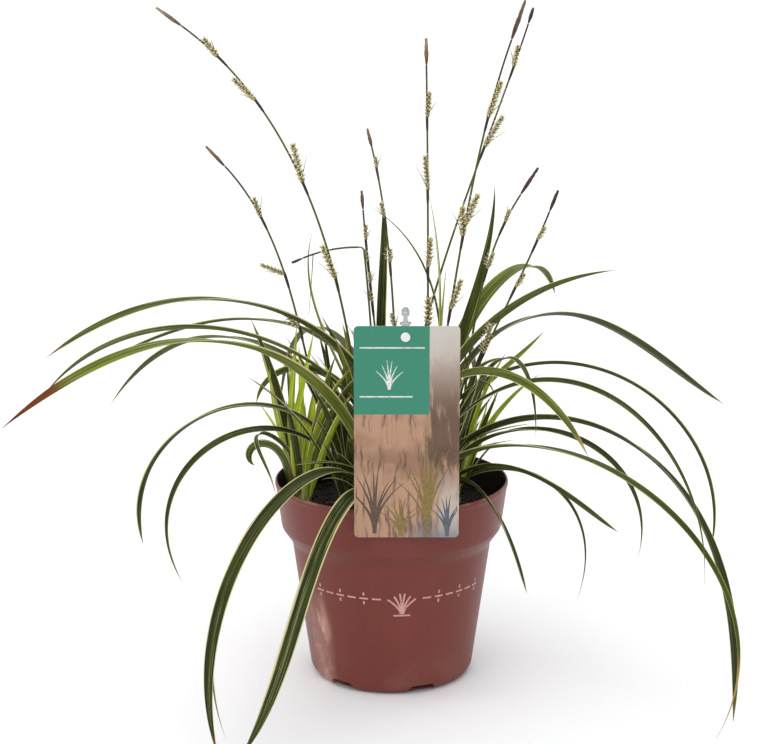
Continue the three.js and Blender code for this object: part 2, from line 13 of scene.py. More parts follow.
import bpy
import numpy as np
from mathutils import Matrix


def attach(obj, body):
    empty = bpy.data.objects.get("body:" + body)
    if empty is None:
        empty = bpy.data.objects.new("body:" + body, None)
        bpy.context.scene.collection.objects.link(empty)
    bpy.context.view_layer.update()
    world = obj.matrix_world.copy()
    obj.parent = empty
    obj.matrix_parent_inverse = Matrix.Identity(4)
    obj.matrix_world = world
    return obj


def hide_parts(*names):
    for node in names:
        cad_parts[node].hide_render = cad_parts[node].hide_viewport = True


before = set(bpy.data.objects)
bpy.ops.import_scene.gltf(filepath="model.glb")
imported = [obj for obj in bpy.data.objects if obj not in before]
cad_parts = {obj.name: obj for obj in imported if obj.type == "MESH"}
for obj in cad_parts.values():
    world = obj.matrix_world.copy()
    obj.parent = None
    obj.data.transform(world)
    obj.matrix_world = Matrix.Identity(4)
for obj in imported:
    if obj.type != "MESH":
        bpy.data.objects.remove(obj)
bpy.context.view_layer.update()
MM = 0.001
print("CAD nodes:", len(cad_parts))

# %% [markdown]
# ## Camera, floor and light
#
# The plant is seen from a little above, through a long lens, which keeps the pot's sides
# nearly parallel. The floor is one pale sheet that runs out past the top of the picture.
# Large soft lamps and a bright sky leave only a faint shadow.

# %% Camera
SENSOR_WIDTH, LENS = 36.0, 93.75  # in millimetres
CAMERA_PLACE = (-0.0055, -1.404, 0.555)
CAMERA_DIP = 13.23  # degrees that it looks down
camera = bpy.data.objects.new("camera", bpy.data.cameras.new("camera"))
camera.data.sensor_width = SENSOR_WIDTH
camera.data.lens = LENS
camera.location = CAMERA_PLACE
camera.rotation_euler = (math.radians(90 - CAMERA_DIP), 0, 0)
bpy.context.scene.collection.objects.link(camera)
bpy.context.scene.camera = camera
bpy.context.scene.view_settings.view_transform = "Standard"

# %% Lamps and sky
LAMPS = {  # name: direction it shines from, strength, softness in degrees
    "key": ((-0.2, -0.65, 1.0), 0.95, 60),
    "back": ((0.2, 0.8, 1.0), 0.65, 60),
    "side": ((-0.9, 0.2, 0.75), 0.4, 45),
}
for name, (source, strength, softness) in LAMPS.items():
    lamp = bpy.data.objects.new(name, bpy.data.lights.new(name, "SUN"))
    lamp.data.energy = strength
    lamp.data.angle = math.radians(softness)
    across, deep, high = source
    lamp.rotation_euler = (math.atan2(math.hypot(across, deep), high), 0, math.atan2(across, -deep))
    bpy.context.scene.collection.objects.link(lamp)

SKY_COLOUR, SKY_STRENGTH = (0.97, 0.98, 1.0, 1), 0.76
sky = bpy.data.worlds.new("sky")
sky.use_nodes = True
background = sky.node_tree.nodes["Background"]
background.inputs["Color"].default_value = SKY_COLOUR
background.inputs["Strength"].default_value = SKY_STRENGTH
bpy.context.scene.world = sky

# %% [markdown]
# ## Painting with expressions
#
# A material in Blender is a graph of nodes. One small class wraps a node's output and lets
# us write sums and products as in ordinary Python, so `a * 2 + b` adds two Math nodes. All
# other nodes come from `Paint.node`, which takes the node's type, its settings and the
# values or wires of its sockets.

# %% Wires and paints
class Wire:
    """The output of a node, used in sums like a number."""

    def __init__(self, paint, socket):
        self.paint, self.socket = paint, socket

    def math(self, operation, *values):
        return self.paint.node("ShaderNodeMath", {"operation": operation}, dict(enumerate(values)))

    def __add__(self, other):
        return self.math("ADD", self, other)

    def __sub__(self, other):
        return self.math("SUBTRACT", self, other)

    def __rsub__(self, other):
        return self.math("SUBTRACT", other, self)

    def __mul__(self, other):
        return self.math("MULTIPLY", self, other)

    def __truediv__(self, other):
        return self.math("DIVIDE", self, other)

    def __abs__(self):
        return self.math("ABSOLUTE", self)

    __radd__, __rmul__ = __add__, __mul__

    def sine(self):
        return self.math("SINE", self)

    def root(self):
        return self.math("SQRT", self)

    def larger(self, other):
        return self.math("MAXIMUM", self, other)

    def rise(self, low, high):
        """0 below low and 1 above high, with a soft slope between."""
        settings = {"interpolation_type": "SMOOTHSTEP"}
        return self.paint.node("ShaderNodeMapRange", settings, {0: self, 1: low, 2: high})


class Paint:
    """A material whose nodes are written as expressions."""

    def __init__(self, name, **constants):
        self.material = bpy.data.materials.new(name)
        self.material.use_nodes = True
        self.tree = self.material.node_tree
        self.shader = self.tree.nodes["Principled BSDF"]
        for socket, value in constants.items():
            self.shader.inputs[socket.replace("_", " ")].default_value = value

    def node(self, kind, settings, sockets, out=0):
        made = self.tree.nodes.new(kind)
        for key, value in settings.items():
            setattr(made, key, value)
        for key, value in sockets.items():
            if isinstance(value, Wire):
                self.tree.links.new(value.socket, made.inputs[key])
            else:
                made.inputs[key].default_value = value
        return Wire(self, made.outputs[out])

    def place(self):
        """Where a point is, in metres."""
        return self.node("ShaderNodeTexCoord", {}, {}, "Object")

    def mark(self, name):
        """A number that the mesh keeps at each of its points."""
        return self.node("ShaderNodeAttribute", {"attribute_name": name}, {}, "Fac")

    def noise(self, scale, detail, roughness, vector=None):
        return self.node("ShaderNodeTexNoise", {}, {
            "Vector": vector or self.place(), "Scale": scale, "Detail": detail, "Roughness": roughness})

    def join(self, x, y, z):
        return self.node("ShaderNodeCombineXYZ", {}, {0: x, 1: y, 2: z})

    def drawn(self, x, y, z, detail, roughness):
        """Noise that is stretched by giving each direction a scale of its own."""
        return self.noise(1.0, detail, roughness, self.join(x, y, z))

    def parts(self, vector):
        return [self.node("ShaderNodeSeparateXYZ", {}, {0: vector}, axis) for axis in "XYZ"]

    def blend(self, low, high, share):
        """A colour between two others."""
        low, high = [(*c, 1.0) if isinstance(c, tuple) else c for c in (low, high)]
        return self.node("ShaderNodeMix", {"data_type": "RGBA"}, {0: share, 6: low, 7: high}, 2)

    def layers(self, colour, *coats):
        """A colour with others laid over it, each by its own share."""
        for tint, share in coats:
            colour = self.blend(colour, tint, share)
        return colour

    def bump(self, height, strength, distance):
        sockets = {"Strength": strength, "Distance": distance, "Height": height}
        return self.node("ShaderNodeBump", {}, sockets)

    def finish(self, **wires):
        for socket, wire in wires.items():
            self.tree.links.new(wire.socket, self.shader.inputs[socket.replace("_", " ")])
        return self.material


# %% The floor
floor_paint = Paint("pale_floor", Roughness=0.9, Base_Color=(0.95, 0.95, 0.953, 1))
floor_mesh = bpy.data.meshes.new("floor")
FLOOR_REACH = 40
FLOOR_CORNERS = ((-1, -1), (1, -1), (1, 1), (-1, 1))
floor_mesh.from_pydata([(x * FLOOR_REACH, y * FLOOR_REACH, 0) for x, y in FLOOR_CORNERS], [], [(0, 1, 2, 3)])
floor_mesh.materials.append(floor_paint.material)
floor = bpy.data.objects.new("floor", floor_mesh)
bpy.context.scene.collection.objects.link(floor)
print("stage set")

# %% [markdown]
# ## Skins
#
# Leaves, stems, scales and hairs are all the same kind of thing: a row of rings drawn over
# with faces. `Skin` collects such strips into one mesh. With each strip it keeps numbers
# that the paints read later, such as how far along a leaf a point lies. It also lays each
# strip out in a cell of its own on a map, so that the colours can be baked sharply.

# %% Skins made of rings
CELL_EDGE = 0.02  # bare edge of a strip's cell on the map


class Skin:
    """Strips of rings that become one mesh."""

    def __init__(self):
        self.points, self.faces, self.corners, self.slots, self.strips = [], [], [], [], 0
        self.marks = {}

    def strip(self, rings, slot=0, **marks):
        """rings has the shape (rings, points round each ring, 3), in millimetres. A mark is a
        number for the whole strip or one for each of its points."""
        count, sides, _ = rings.shape
        first = len(self.points)
        self.points.extend(rings.reshape(-1, 3))
        for name in set(self.marks) | set(marks):
            kept = self.marks.setdefault(name, [0.0] * first)
            kept.extend(np.broadcast_to(marks.get(name, 0.0), (count, sides)).ravel())
        for i in range(count - 1):
            for k in range(sides):
                a, b = first + i * sides + k, first + i * sides + (k + 1) % sides
                self.faces.append((a, b, b + sides, a + sides))
                u, v = k / sides, i / (count - 1)
                du, dv = 1 / sides, 1 / (count - 1)
                self.corners.append([(u, v), (u + du, v), (u + du, v + dv), (u, v + dv)])
                self.slots.append((slot, self.strips))
        for ring, turn in ((0, -1), (count - 1, 1)):
            self.faces.append(tuple(first + ring * sides + k for k in range(sides))[::turn])
            self.corners.append([(0.5, ring / (count - 1))] * sides)
            self.slots.append((slot, self.strips))
        self.strips += 1

    def piece(self, name, paints, columns=None, crease=50):
        """The finished mesh as an object that rides on the part's body."""
        mesh = bpy.data.meshes.new(name)
        mesh.from_pydata(np.array(self.points) * MM, [], self.faces)
        columns = columns or math.ceil(math.sqrt(self.strips))
        rows = math.ceil(self.strips / columns)
        cells = [(strip % columns, strip // columns) for _, strip in self.slots]
        fill, edge = 1 - 2 * CELL_EDGE, CELL_EDGE
        places = [((u * fill + edge + x) / columns, (v * fill + edge + y) / rows)
                  for (x, y), corners in zip(cells, self.corners) for u, v in corners]
        mesh.uv_layers.new(name="OFBake").data.foreach_set("uv", np.ravel(places))
        for mark, values in self.marks.items():
            mesh.attributes.new(mark, "FLOAT", "POINT").data.foreach_set("value", values)
        for paint in paints:
            mesh.materials.append(paint)
        mesh.polygons.foreach_set("material_index", [slot for slot, _ in self.slots])
        mesh.polygons.foreach_set("use_smooth", [True] * len(mesh.polygons))
        mesh.set_sharp_from_angle(angle=math.radians(crease))
        thing = bpy.data.objects.new(name, mesh)
        bpy.context.scene.collection.objects.link(thing)
        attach(thing, "root")
        return thing


# %% [markdown]
# ## The lines that leaves and culms follow
#
# A blade leaves the soil nearly upright and bends under its own weight, so its lean from
# upright grows along its length. Three leans, at the foot, the middle and the tip, describe
# each one, with the compass turn it leaves in and how far that turn sweeps.

# %% Lines
SOIL_Z = 124.0


def compass(degrees):
    return np.array([math.cos(math.radians(degrees)), math.sin(math.radians(degrees)), 0.0])


def circle(sides):
    return np.linspace(0, 2 * np.pi, sides, endpoint=False)


def ringed(places, side, up, wide, thick):
    """Rings along a line: wide and thick say how far each point stands off to the side and up."""
    return places[:, None] + side[:, None] * wide[..., None] + up[:, None] * thick[..., None]


def grow(base, turn, sweep, length, lean_foot, lean_middle, lean_tip, steps=80, kink=(1, 0, 0)):
    """Shares from 0 to 1 along a line, its places, directions and level cross directions.
    A kink is the share where a culm has snapped and the leans of its broken part."""
    broken, lean_broken, lean_end = kink

    def facing(s):
        lean = lean_foot * (1 - s) ** 2 + 2 * lean_middle * s * (1 - s) + lean_tip * s * s
        hanging = lean_broken + (lean_end - lean_broken) * (s - broken) / max(1 - broken, 0.01)
        lean = np.radians(np.where(s > broken, hanging, lean))
        way = np.radians(turn + sweep * s)
        out = np.stack([np.cos(way), np.sin(way), 0 * way], 1)
        along = out * np.sin(lean)[:, None] + np.array([0, 0, 1]) * np.cos(lean)[:, None]
        return along, np.stack([-out[:, 1], out[:, 0], out[:, 2]], 1)

    s = np.linspace(0, 1, steps + 1)
    walked = np.cumsum(facing(s[:-1] + 0.5 / steps)[0], axis=0) * (length / steps)
    places = np.vstack([base, base + walked])
    return s, places, *facing(s)


def smooth(share):
    x = np.clip(share, 0, 1)
    return x * x * (3 - 2 * x)


def rolled(across, along, degrees):
    """The cross direction turned about the line, and the direction square to both."""
    turn = np.radians(np.broadcast_to(degrees, len(along)))[:, None]
    side = across * np.cos(turn) + np.cross(along, across) * np.sin(turn)
    return side, np.cross(along, side)


# %% [markdown]
# ## Leaf rows
#
# Every shoot is a tuft of blades that share one short sheath. A row holds a blade's turn,
# sweep, length, three leans, width, the roll of the blade at its foot and tip, and its
# taper: the higher that is, the longer the blade keeps its width. Four more numbers describe
# its finish in hundredths: the cream at its margins, how fresh its green is, how much of its
# tip has dried, and whether the dry part is straw (0) or rust (100).
# The short inner blades and the core blades in the heart of a shoot are drawn by rule
# from a seed, so they come out the same each time. The core blades are painted dark, as
# painted shade for the heart of the clump.

# %% The rows of the shoots
SHOOTS = {  # name: (x, y), inner blades (count, turn, spread, seed and freshness), long blades
    "shoot_front_left": ((-9, -18), (5, 225, 75, 1, 35), [
        (242, -25, 328, 23, 148, 195, 9.5, 3, -65, 6, 19, 30, 2, 30),
        (233, -7, 312, 24, 147, 202, 6, 32, 4, 3, 22, 32, 2, 30),
        (252, -15, 272, 26, 198, 120, 11, -15, -25, 8, 26, 34, 1, 40),
        (201, -3, 88, -15, 84, 95, 9, 20, 0, 3, 18, 38, 2, 20),
        (212, 23, 402, 2, 90, 112, 9.5, 80, -58, 6, 24, 56, 12, 100),
        (209, 0, 57, 48, 9, 106, 5, 20, 0, 3, 25, 40, 1, 20),
        (191, 0, 68, 13, 49, 122, 6, 10, 0, 3, 25, 40, 1, 20)]),
    "shoot_left": ((-4, 5), (6, 180, 80, 51, 66), [
        (183, 28, 358, -17, 79, 121, 9.5, 80, -42, 7, 18, 46, 2, 20),
        (202, -55, 362, -6, 90, 138, 8.5, -7, 73, 3, 20, 44, 2, 10),
        (168, 0, 126, 40, -12, 46, 5, 0, 0, 3, 40, 90, 1, 0),
        (185, 0, 120, 24, 35, 28, 5, 0, 0, 3, 40, 90, 1, 0)]),
    "shoot_rear_left": ((-12, 23), (6, 140, 80, 28, 72), [
        (146, -10, 359, 7, 106, 139, 9, -65, 80, 3, 16, 44, 2, 10),
        (137, 42, 318, -36, 109, 116, 7, -80, 68, 5, 22, 42, 2, 10),
        (159, 2, 209, -12, 70, -20, 5, 30, 60, 3, 25, 60, 1, 0),
        (169, 10, 170, 0, -4, 174, 8, 60, 60, 8, 20, 50, 1, 0),
        (169, 1, 94, 45, 18, 72, 6, -27, 32, 3, 16, 90, 1, 0)]),
    "shoot_side_left": ((-33, 4), (7, 190, 120, 93, 40), [
        (202, -17, 265, -8, 103, 193, 9.5, -40, 51, 8, 20, 34, 2, 30),
        (208, -34, 251, -3, 123, 210, 7, -6, -45, 5, 15, 26, 2, 60)]),
    "shoot_fan_left": ((-64, 6), (7, 100, 150, 158, 100), [
        (170, 0, 137, 18, -13, -3, 7, 70, 60, 3, 10, 100, 1, 0),
        (26, -3, 134, -30, 27, 10, 6, 60, 60, 3, 10, 100, 1, 0),
        (165, 0, 105, 14, 25, -2, 6, 60, 50, 3, 12, 100, 1, 0),
        (168, 8, 79, 47, -76, 241, 8.5, 60, 60, 8, 24, 50, 2, 20),
        (150, 189, 146, -9, 62, 174, 5, 20, 40, 3, 30, 30, 10, 20)]),
    "shoot_rear": ((4, 36), (5, 90, 90, 3, 50), [
        (104, 23, 223, 50, -27, 5, 7.5, -20, -20, 8, 14, 40, 1, 0),
        (88, 10, 330, 8, 95, 165, 9, 0, 20, 3, 16, 34, 2, 20),
        (62, 20, 320, 8, 90, 170, 9, 0, -20, 3, 16, 42, 2, 20),
        (122, -14, 330, 6, 90, 168, 9, 0, 20, 3, 16, 40, 2, 60)]),
    "shoot_rear_right": ((30, 27), (5, 60, 70, 14, 72), [
        (176, -11, 239, -1, -28, 68, 4, 30, 34, 3, 12, 30, 2, 50),
        (121, 1, 230, 0, -23, 26, 5, 40, 40, 3, 16, 70, 1, 0),
        (61, 0, 175, 6, 0, 13, 5, -40, -40, 3, 14, 70, 1, 0),
        (24, -7, 238, -8, 43, -2, 8.5, 80, 24, 4, 12, 44, 1, 0),
        (22, 42, 275, -3, 11, 148, 11, 64, -12, 9, 14, 52, 2, 10),
        (52, -18, 442, -12, 145, 121, 9, 5, -46, 9, 10, 22, 1, 0)]),
    "shoot_right": ((17, 12), (4, 20, 60, 37, 65), [
        (10, -19, 248, -5, 39, 83, 8, -71, -68, 4, 16, 46, 2, 20),
        (20, 0, 162, 3, 68, 47, 6.5, -60, 53, 5, 16, 60, 1, 0),
        (25, -2, 136, 33, -22, 99, 8, -50, -77, 3, 14, 55, 1, 0),
        (-20, 5, 365, -2, 94, 190, 7.5, -8, -38, 9, 10, 26, 2, 70)]),
    "shoot_front_right": ((10, -7), (6, 300, 80, 2, 40), [
        (312, -5, 275, -14, 73, 139, 7, 80, 24, 9, 20, 50, 4, 0),
        (325, -17, 379, 16, 73, 183, 6, 13, 68, 2, 16, 30, 2, 60),
        (359, -75, 413, 21, 128, 183, 10.5, -46, -7, 9, 10, 12, 2, 50),
        (302, 54, 426, 36, 98, 207, 8, -59, 80, 2, 15, 45, 12, 15)]),
    "shoot_side_right": ((32, -5), (6, 340, 80, 293, 45), [
        (323, 49, 245, 7, 97, 193, 9.5, -60, 80, 2, 10, 14, 2, 50),
        (331, 0, 167, 7, 137, 116, 7, -10, -73, 9, 12, 14, 2, 30),
        (345, 38, 196, 19, 145, 201, 4.5, 1, 80, 2, 10, 10, 2, 60),
        (301, -2, 156, 11, 146, 147, 6, -80, -22, 9, 8, 14, 2, 40),
        (-4, -1, 111, -22, 77, 82, 4, -10, -20, 3, 16, 50, 2, 0),
        (346, 0, 93, -29, 86, 75, 4, -10, -20, 3, 16, 50, 2, 0)]),
    "shoot_fan_right": ((46, 12), (6, 60, 130, 201, 90), [
        (62, -7, 109, 37, 40, -20, 7, -60, -50, 3, 14, 85, 1, 0),
        (165, 13, 84, -29, 5, 3, 6, 74, 32, 3, 14, 90, 1, 0),
        (20, 0, 80, 8, 33, 11, 6, -50, -50, 3, 14, 85, 1, 0),
        (317, -39, 232, 6, 0, 187, 6, -47, 37, 3, 14, 40, 2, 40),
        (324, -45, 148, 6, -27, 145, 5, 50, -46, 3, 14, 40, 2, 40)]),
}


def draws(seed):
    """Numbers between 0 and 1, the same on every run."""
    state = seed
    for _ in range(3):
        state = state * 16807 % 2147483647
    while True:
        state = state * 16807 % 2147483647
        yield state / 2147483647


def inner_blades(count, turn, spread, seed, fresh):
    """Rows of the short blades inside a shoot."""
    draw, tint = draws(seed), draws(seed + 7)
    rows = []
    for _ in range(count):
        way = turn + spread * (2 * next(draw) - 1)
        length = 60 + 80 * next(draw)
        lean = 4 + 16 * next(draw)
        bend = 14 * next(draw)
        droop = 10 + 45 * next(draw)
        width = 5 + 3 * next(draw)
        roll = 140 * next(draw) - 70
        finish = (8 + 16 * next(tint), fresh * (0.6 + 0.5 * next(tint)), 2 + 6 * next(tint), 60 * next(tint))
        rows.append((way, 0, length, lean, lean + bend, droop, width, roll, roll, 3, *finish))
    return rows


CORE_BLADES = 9


def core_blades(seed, lively):
    """Rows of the upright blades that crowd the heart of a shoot, painted dark as painted shade for the
    heart of the clump.
    """
    draw = draws(seed)
    rows = []
    for _ in range(CORE_BLADES):
        way, length = 360 * next(draw), 55 + 95 * next(draw)
        lean, bend, width = 3 + 20 * next(draw), 14 * next(draw), 5 + 3.5 * next(draw)
        # A low freshness paints these blades dark: painted shade for the heart of the clump.
        roll, fresh = 180 * next(draw) - 90, lively * (0.2 + 0.8 * next(draw))
        finish = (6 + 16 * next(draw), fresh, 3 + 4 * next(draw), 40 * next(draw))
        rows.append((way, 30 * next(draw) - 15, length, lean, lean + bend, lean + 3 * bend,
                     width, roll, roll * 0.5, 4, *finish))
    return rows


print("long blades:", sum(len(rows) for _, _, rows in SHOOTS.values()))

# %% [markdown]
# ## The paint of a blade
#
# A blade is dark green down the middle and cream along its margins, with streaks that run
# its whole length, because every cell file grows from the foot. The paint reads two marks:
# `across`, from -1 to 1 over the width, and `along`, from 0 to 1 up the length. Noise that
# is stretched along the blade makes the streaks. The tip dries to straw or rust, and the
# underside is greyer. Fine ribs stand up in the bump. Daylight shines through a young blade,
# so the freshest ones are given a faint painted glow of their own colour, an emission that
# stands in for that light.

# %% Blade paint
blade_paint = Paint("variegated_blade", Specular_IOR_Level=0.15, Emission_Strength=0.2)
across = blade_paint.mark("across")
along = blade_paint.mark("along")
leaf = blade_paint.mark("leaf")
edge = abs(across)
streaks = blade_paint.drawn(across * 4, along * 2.2, leaf * 90, 4.0, 0.6)
fine_streaks = blade_paint.drawn(across * 17, along * 4, leaf * 40, 2.0, 0.5)
patches = blade_paint.drawn(across * 1.2, along * 9, leaf * 70, 3.0, 0.6)
mottle = streaks * 0.5 + fine_streaks * 0.35 + patches * 0.35
fresh = blade_paint.mark("fresh")
lively = fresh.rise(0.34, 0.95)

deep = blade_paint.blend((0.015, 0.021, 0.004), (0.22, 0.31, 0.012), lively)
light = blade_paint.blend((0.060, 0.074, 0.010), (0.60, 0.68, 0.045), lively)
green = blade_paint.blend(deep, light, mottle.rise(0.48, 0.76))
cream_share = blade_paint.mark("cream")
wobble = (streaks - 0.5) * 0.30 + (patches - 0.5) * 0.16
margin = (edge + wobble - 1 + cream_share * 0.7).rise(-0.015, 0.035)
stripe = (fine_streaks + streaks * 0.5 + cream_share * 0.4).rise(0.96, 1.04) * 0.55
cream = blade_paint.blend((0.50, 0.50, 0.17), (0.78, 0.68, 0.38), streaks.rise(0.35, 0.65))
# The midrib is painted lighter: partly its own paler green, partly a painted highlight along the fold.
midrib_and_fold_highlight = 1 - edge.rise(0.02, 0.09)
young_foot = (1 - along.rise(0.02, 0.22)) * fresh
dried = (along + (streaks - 0.5) * 0.06 + edge * 0.015 - 1 + blade_paint.mark("dry")).rise(-0.03, 0.025)
rust = blade_paint.mark("rust")
dry_colour = blade_paint.blend((0.46, 0.33, 0.12), (0.18, 0.050, 0.011), rust)
dry_colour = blade_paint.blend(dry_colour, (0.07, 0.040, 0.025), along.rise(0.95, 1.0) * rust)
colour = blade_paint.layers(
    green,
    (cream, (margin * 0.94).larger(stripe)),
    # Lighter midrib, partly a painted highlight along the fold.
    ((0.13, 0.18, 0.03), midrib_and_fold_highlight * 0.35),
    ((0.46, 0.50, 0.11), young_foot),
    (dry_colour, dried),
    ((0.080, 0.105, 0.030), blade_paint.mark("under") * 0.25),
)
ribs = (across * 42).sine() * 0.5 + fine_streaks
blade_paint.finish(
    Base_Color=colour,
    Roughness=dried * 0.3 + streaks * 0.2 + 0.32,
    # Painted glow: the freshest blades emit their own colour, standing in for light shining through them.
    Emission_Color=blade_paint.blend((0.0, 0.0, 0.0), colour, lively * lively * (1 - dried)),
    Normal=blade_paint.bump(ribs, 0.35, 0.0003),
)
print("blade paint nodes:", len(blade_paint.tree.nodes))

# %% [markdown]
# ## Blades and sheaths
#
# A blade of this sedge has a shallow V across it: a channel above and a keel below. Nine
# points carry the upper face of each ring and seven the lower one, about half a millimetre
# beneath. The bases of the blades wrap round each other in a short sheath, and the oldest
# ones have withered to brown fibres.

# %% Blades
UPPER = np.array([1, 0.82, 0.58, 0.28, 0, -0.28, -0.58, -0.82, -1])
LOWER = np.array([-0.93, -0.6, -0.22, 0, 0.22, 0.6, 0.93])
ACROSS = np.concatenate([UPPER, LOWER])
UNDER = np.array([0] * len(UPPER) + [1] * len(LOWER))
BLADE_THICKNESS = 0.45
KEEL = 0.35
BLADE_FOLD = 0.16
LEAF_SPREAD = 3
LONG_BLADE, LONG_STEPS, SHORT_STEPS = 160, 80, 32  # a blade longer than the first bends in more steps


def blade_width(s, taper):
    return np.maximum((0.5 + 0.5 * smooth(s / 0.3)) * (1 - s**taper), 0.03)


def add_blade(skin, foot, row, leaf):
    turn, sweep, length, foot_lean, middle_lean, tip_lean, width, foot_roll, tip_roll, taper = row[:10]
    base = np.array([*foot, SOIL_Z]) + compass(turn) * LEAF_SPREAD
    steps = LONG_STEPS if length > LONG_BLADE else SHORT_STEPS
    s, places, alongs, acrosses = grow(base, turn, sweep, length, foot_lean, middle_lean, tip_lean, steps)
    side, up = rolled(acrosses, alongs, foot_roll + (tip_roll - foot_roll) * s)
    half = width / 2 * blade_width(s, taper)
    fold = 2 * half * BLADE_FOLD
    thin = np.minimum(1, half / 1.2)
    depth = UNDER * (BLADE_THICKNESS + KEEL * (1 - np.abs(ACROSS)) ** 2)
    height = fold[:, None] * np.abs(ACROSS) ** 1.15 - thin[:, None] * depth
    rings = ringed(places, side, up, half[:, None] * ACROSS, height)
    cream, fresh, dry, rust = (value / 100 for value in row[10:])
    skin.strip(rings, across=ACROSS, under=UNDER, along=s[:, None], leaf=leaf,
               cream=cream, fresh=fresh, dry=dry, rust=rust)


# %% Sheaths and the finished shoots
SHEATH_SIDES = 28
WITHERED_BLADES = 5  # round the foot of each shoot
SHEATH = [  # radius and height over the soil
    (3.1, -20), (4.9, -3), (5.2, 1), (4.6, 6), (3.9, 11), (3.4, 15), (1.5, 16.4)]


def add_sheath(skin, foot, draw):
    angle = circle(SHEATH_SIDES)
    rings = []
    for radius, height in SHEATH:
        ribbed = radius * (1 + 0.09 * np.abs(np.sin(3.5 * angle + height * 0.05)))
        rings.append(np.stack([foot[0] + ribbed * np.cos(angle), foot[1] + ribbed * np.sin(angle),
                               0 * angle + SOIL_Z + height], 1))
    marks = {"cream": 0.5, "fresh": 0.4, "dry": 0.0, "rust": 0.5}
    skin.strip(np.array(rings), across=np.cos(3.5 * angle), along=0.03, leaf=next(draw), **marks)
    for _ in range(WITHERED_BLADES):
        turn = 360 * next(draw)
        row = (turn, 40 * next(draw) - 20, 22 + 26 * next(draw), 4, 10 + 25 * next(draw),
               60 * next(draw), 3.2, 0, 0, 3, 0, 0, 100, 40 + 60 * next(draw))
        add_blade(skin, foot, row, next(draw))


for name, (foot, fill, rows) in SHOOTS.items():
    skin, draw = Skin(), draws(fill[3] + 31)
    for row in rows + inner_blades(*fill) + core_blades(fill[3] + 3, fill[4]):
        add_blade(skin, foot, row, next(draw))
    add_sheath(skin, foot, draw)
    shoot = skin.piece(f"{name}_blades", [blade_paint.material], columns=skin.strips)
    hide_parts(name)
    print(shoot.name, "strips:", skin.strips, "faces:", len(shoot.data.polygons))

# %% [markdown]
# ## Culms
#
# A flower culm is a thin three-cornered stem. It carries a slim brown male spike at its tip
# and plump female spikes below, each in the angle of a bract whose dark sheath wraps the
# culm. A row holds the culm's foot, its line (turn, sweep, whole length and three leans),
# the male spike's length and thickness, how light its brown is, and the female spikes: how
# far each foot is below the tip, its length, thickness, turn and tilt off the culm. The last
# culm has snapped: a kink gives the share where it broke and the leans of its hanging end.

# %% The rows of the culms
CULMS = {
    "culm_a": ((-14, 16), (171, 2, 405, 8, 2, 61), (22, 4, 0.6), [
        (55, 16, 6.5, 330, 11), (96, 22, 6, 200, 11), (163, 28, 8, 356, 10), (237, 26, 6.5, 200, 8)]),
    "culm_b": ((-27, 14), (163, 3, 286, 31, -14, 54), (20, 3.6, 0.4), [
        (65, 15, 4.5, 340, 10), (110, 19, 4.5, 180, 50), (150, 15, 5, 203, 35)]),
    "culm_c": ((6, 24), (110, 0, 281, 6, -5, 44), (17, 3.4, 0.35), [
        (34, 9, 3.6, 340, 8), (73, 12, 3.6, 200, 8), (106, 10, 4.2, 340, 8), (153, 10, 4.2, 200, 10)]),
    "culm_d": ((-2, 16), (120, 0, 229, 3, 19, 8), (14, 3.2, 0.25), [
        (36, 11, 3.6, 20, 6), (52, 9, 3.6, 200, 6), (68, 8, 3.6, 340, 6), (82, 9, 3.6, 200, 6)]),
    "culm_e": ((26, 20), (83, -1, 340, 5, -2, -11), (19, 4, 0.55), [
        (56, 18, 5, 345, 6), (109, 25, 5, 220, 6), (166, 22, 5.8, 308, 8), (209, 21, 8.5, 274, 8)]),
    "culm_f": ((14, 2), (20, -1, 374, 16, 0, 24), (29, 4.6, 0.2), [
        (86, 27, 6, 330, 7), (164, 24, 7.2, 340, 14), (172, 21, 7.2, 200, 12), (226, 23, 6, 340, 12)]),
    "culm_g": ((9, 24), (31, -2, 375, -2, 33, 20), (12, 3.4, 0.03), [
        (45, 16, 5, 200, 8), (107, 26, 6, 340, 12)]),
    "culm_h": ((40, 17), (14, 1, 257, 16, -12, 44), (23, 3.8, 0.05), [
        (46, 10, 3.6, 236, 8), (82, 13, 4.2, 300, 10)]),
    "culm_i": ((30, 9), (-2, -4, 249, 9, 34, 19), (16, 3.4, 0.03), [
        (38, 11, 4.2, 320, 10), (76, 12, 3.6, 2, 10), (130, 22, 5, 165, 12)]),
    "culm_j": ((-10, 32), (180, 0, 241, 1, 3, 8), (9, 2.4, 0.1), [], (0.78, 88, 118)),
}
CULM_RADIUS = 1.1
CULM_TIP_RADIUS = 0.75
CULM_DEPTH = 15
print("female spikes:", sum(len(culm[3]) for culm in CULMS.values()))

# %% [markdown]
# ## Paints of the flowering parts
#
# The culm is green near the soil and turns purple brown towards its tip. The fruits of a
# female spike, its utricles, are straw yellow with a white beak and a darker foot, partly their
# own green base and partly painted shade where the fruits crowd together; the scales
# between them are brown with a pale rim and tip, and fine white stigmas stand out all round.
# All of these paints read the mark `along`, from the foot of each small strip to its tip.

# %% Culm, utricle, scale and stigma paints
culm_paint = Paint("culm_green", Roughness=0.45, Specular_IOR_Level=0.25)
height = culm_paint.mark("along")
cells = culm_paint.drawn(culm_paint.mark("leaf") * 50, height * 14, 0.0, 4.0, 0.6)
tone = culm_paint.layers(
    (0.078, 0.090, 0.012),
    ((0.036, 0.028, 0.020), (height + cells * 0.3).rise(0.85, 1.15)),
    ((0.026, 0.015, 0.013), culm_paint.mark("dark")),
    ((0.20, 0.23, 0.06), cells.rise(0.5, 0.75) * 0.4),
)
culm_paint.finish(Base_Color=tone, Normal=culm_paint.bump(cells, 0.3, 0.0003))

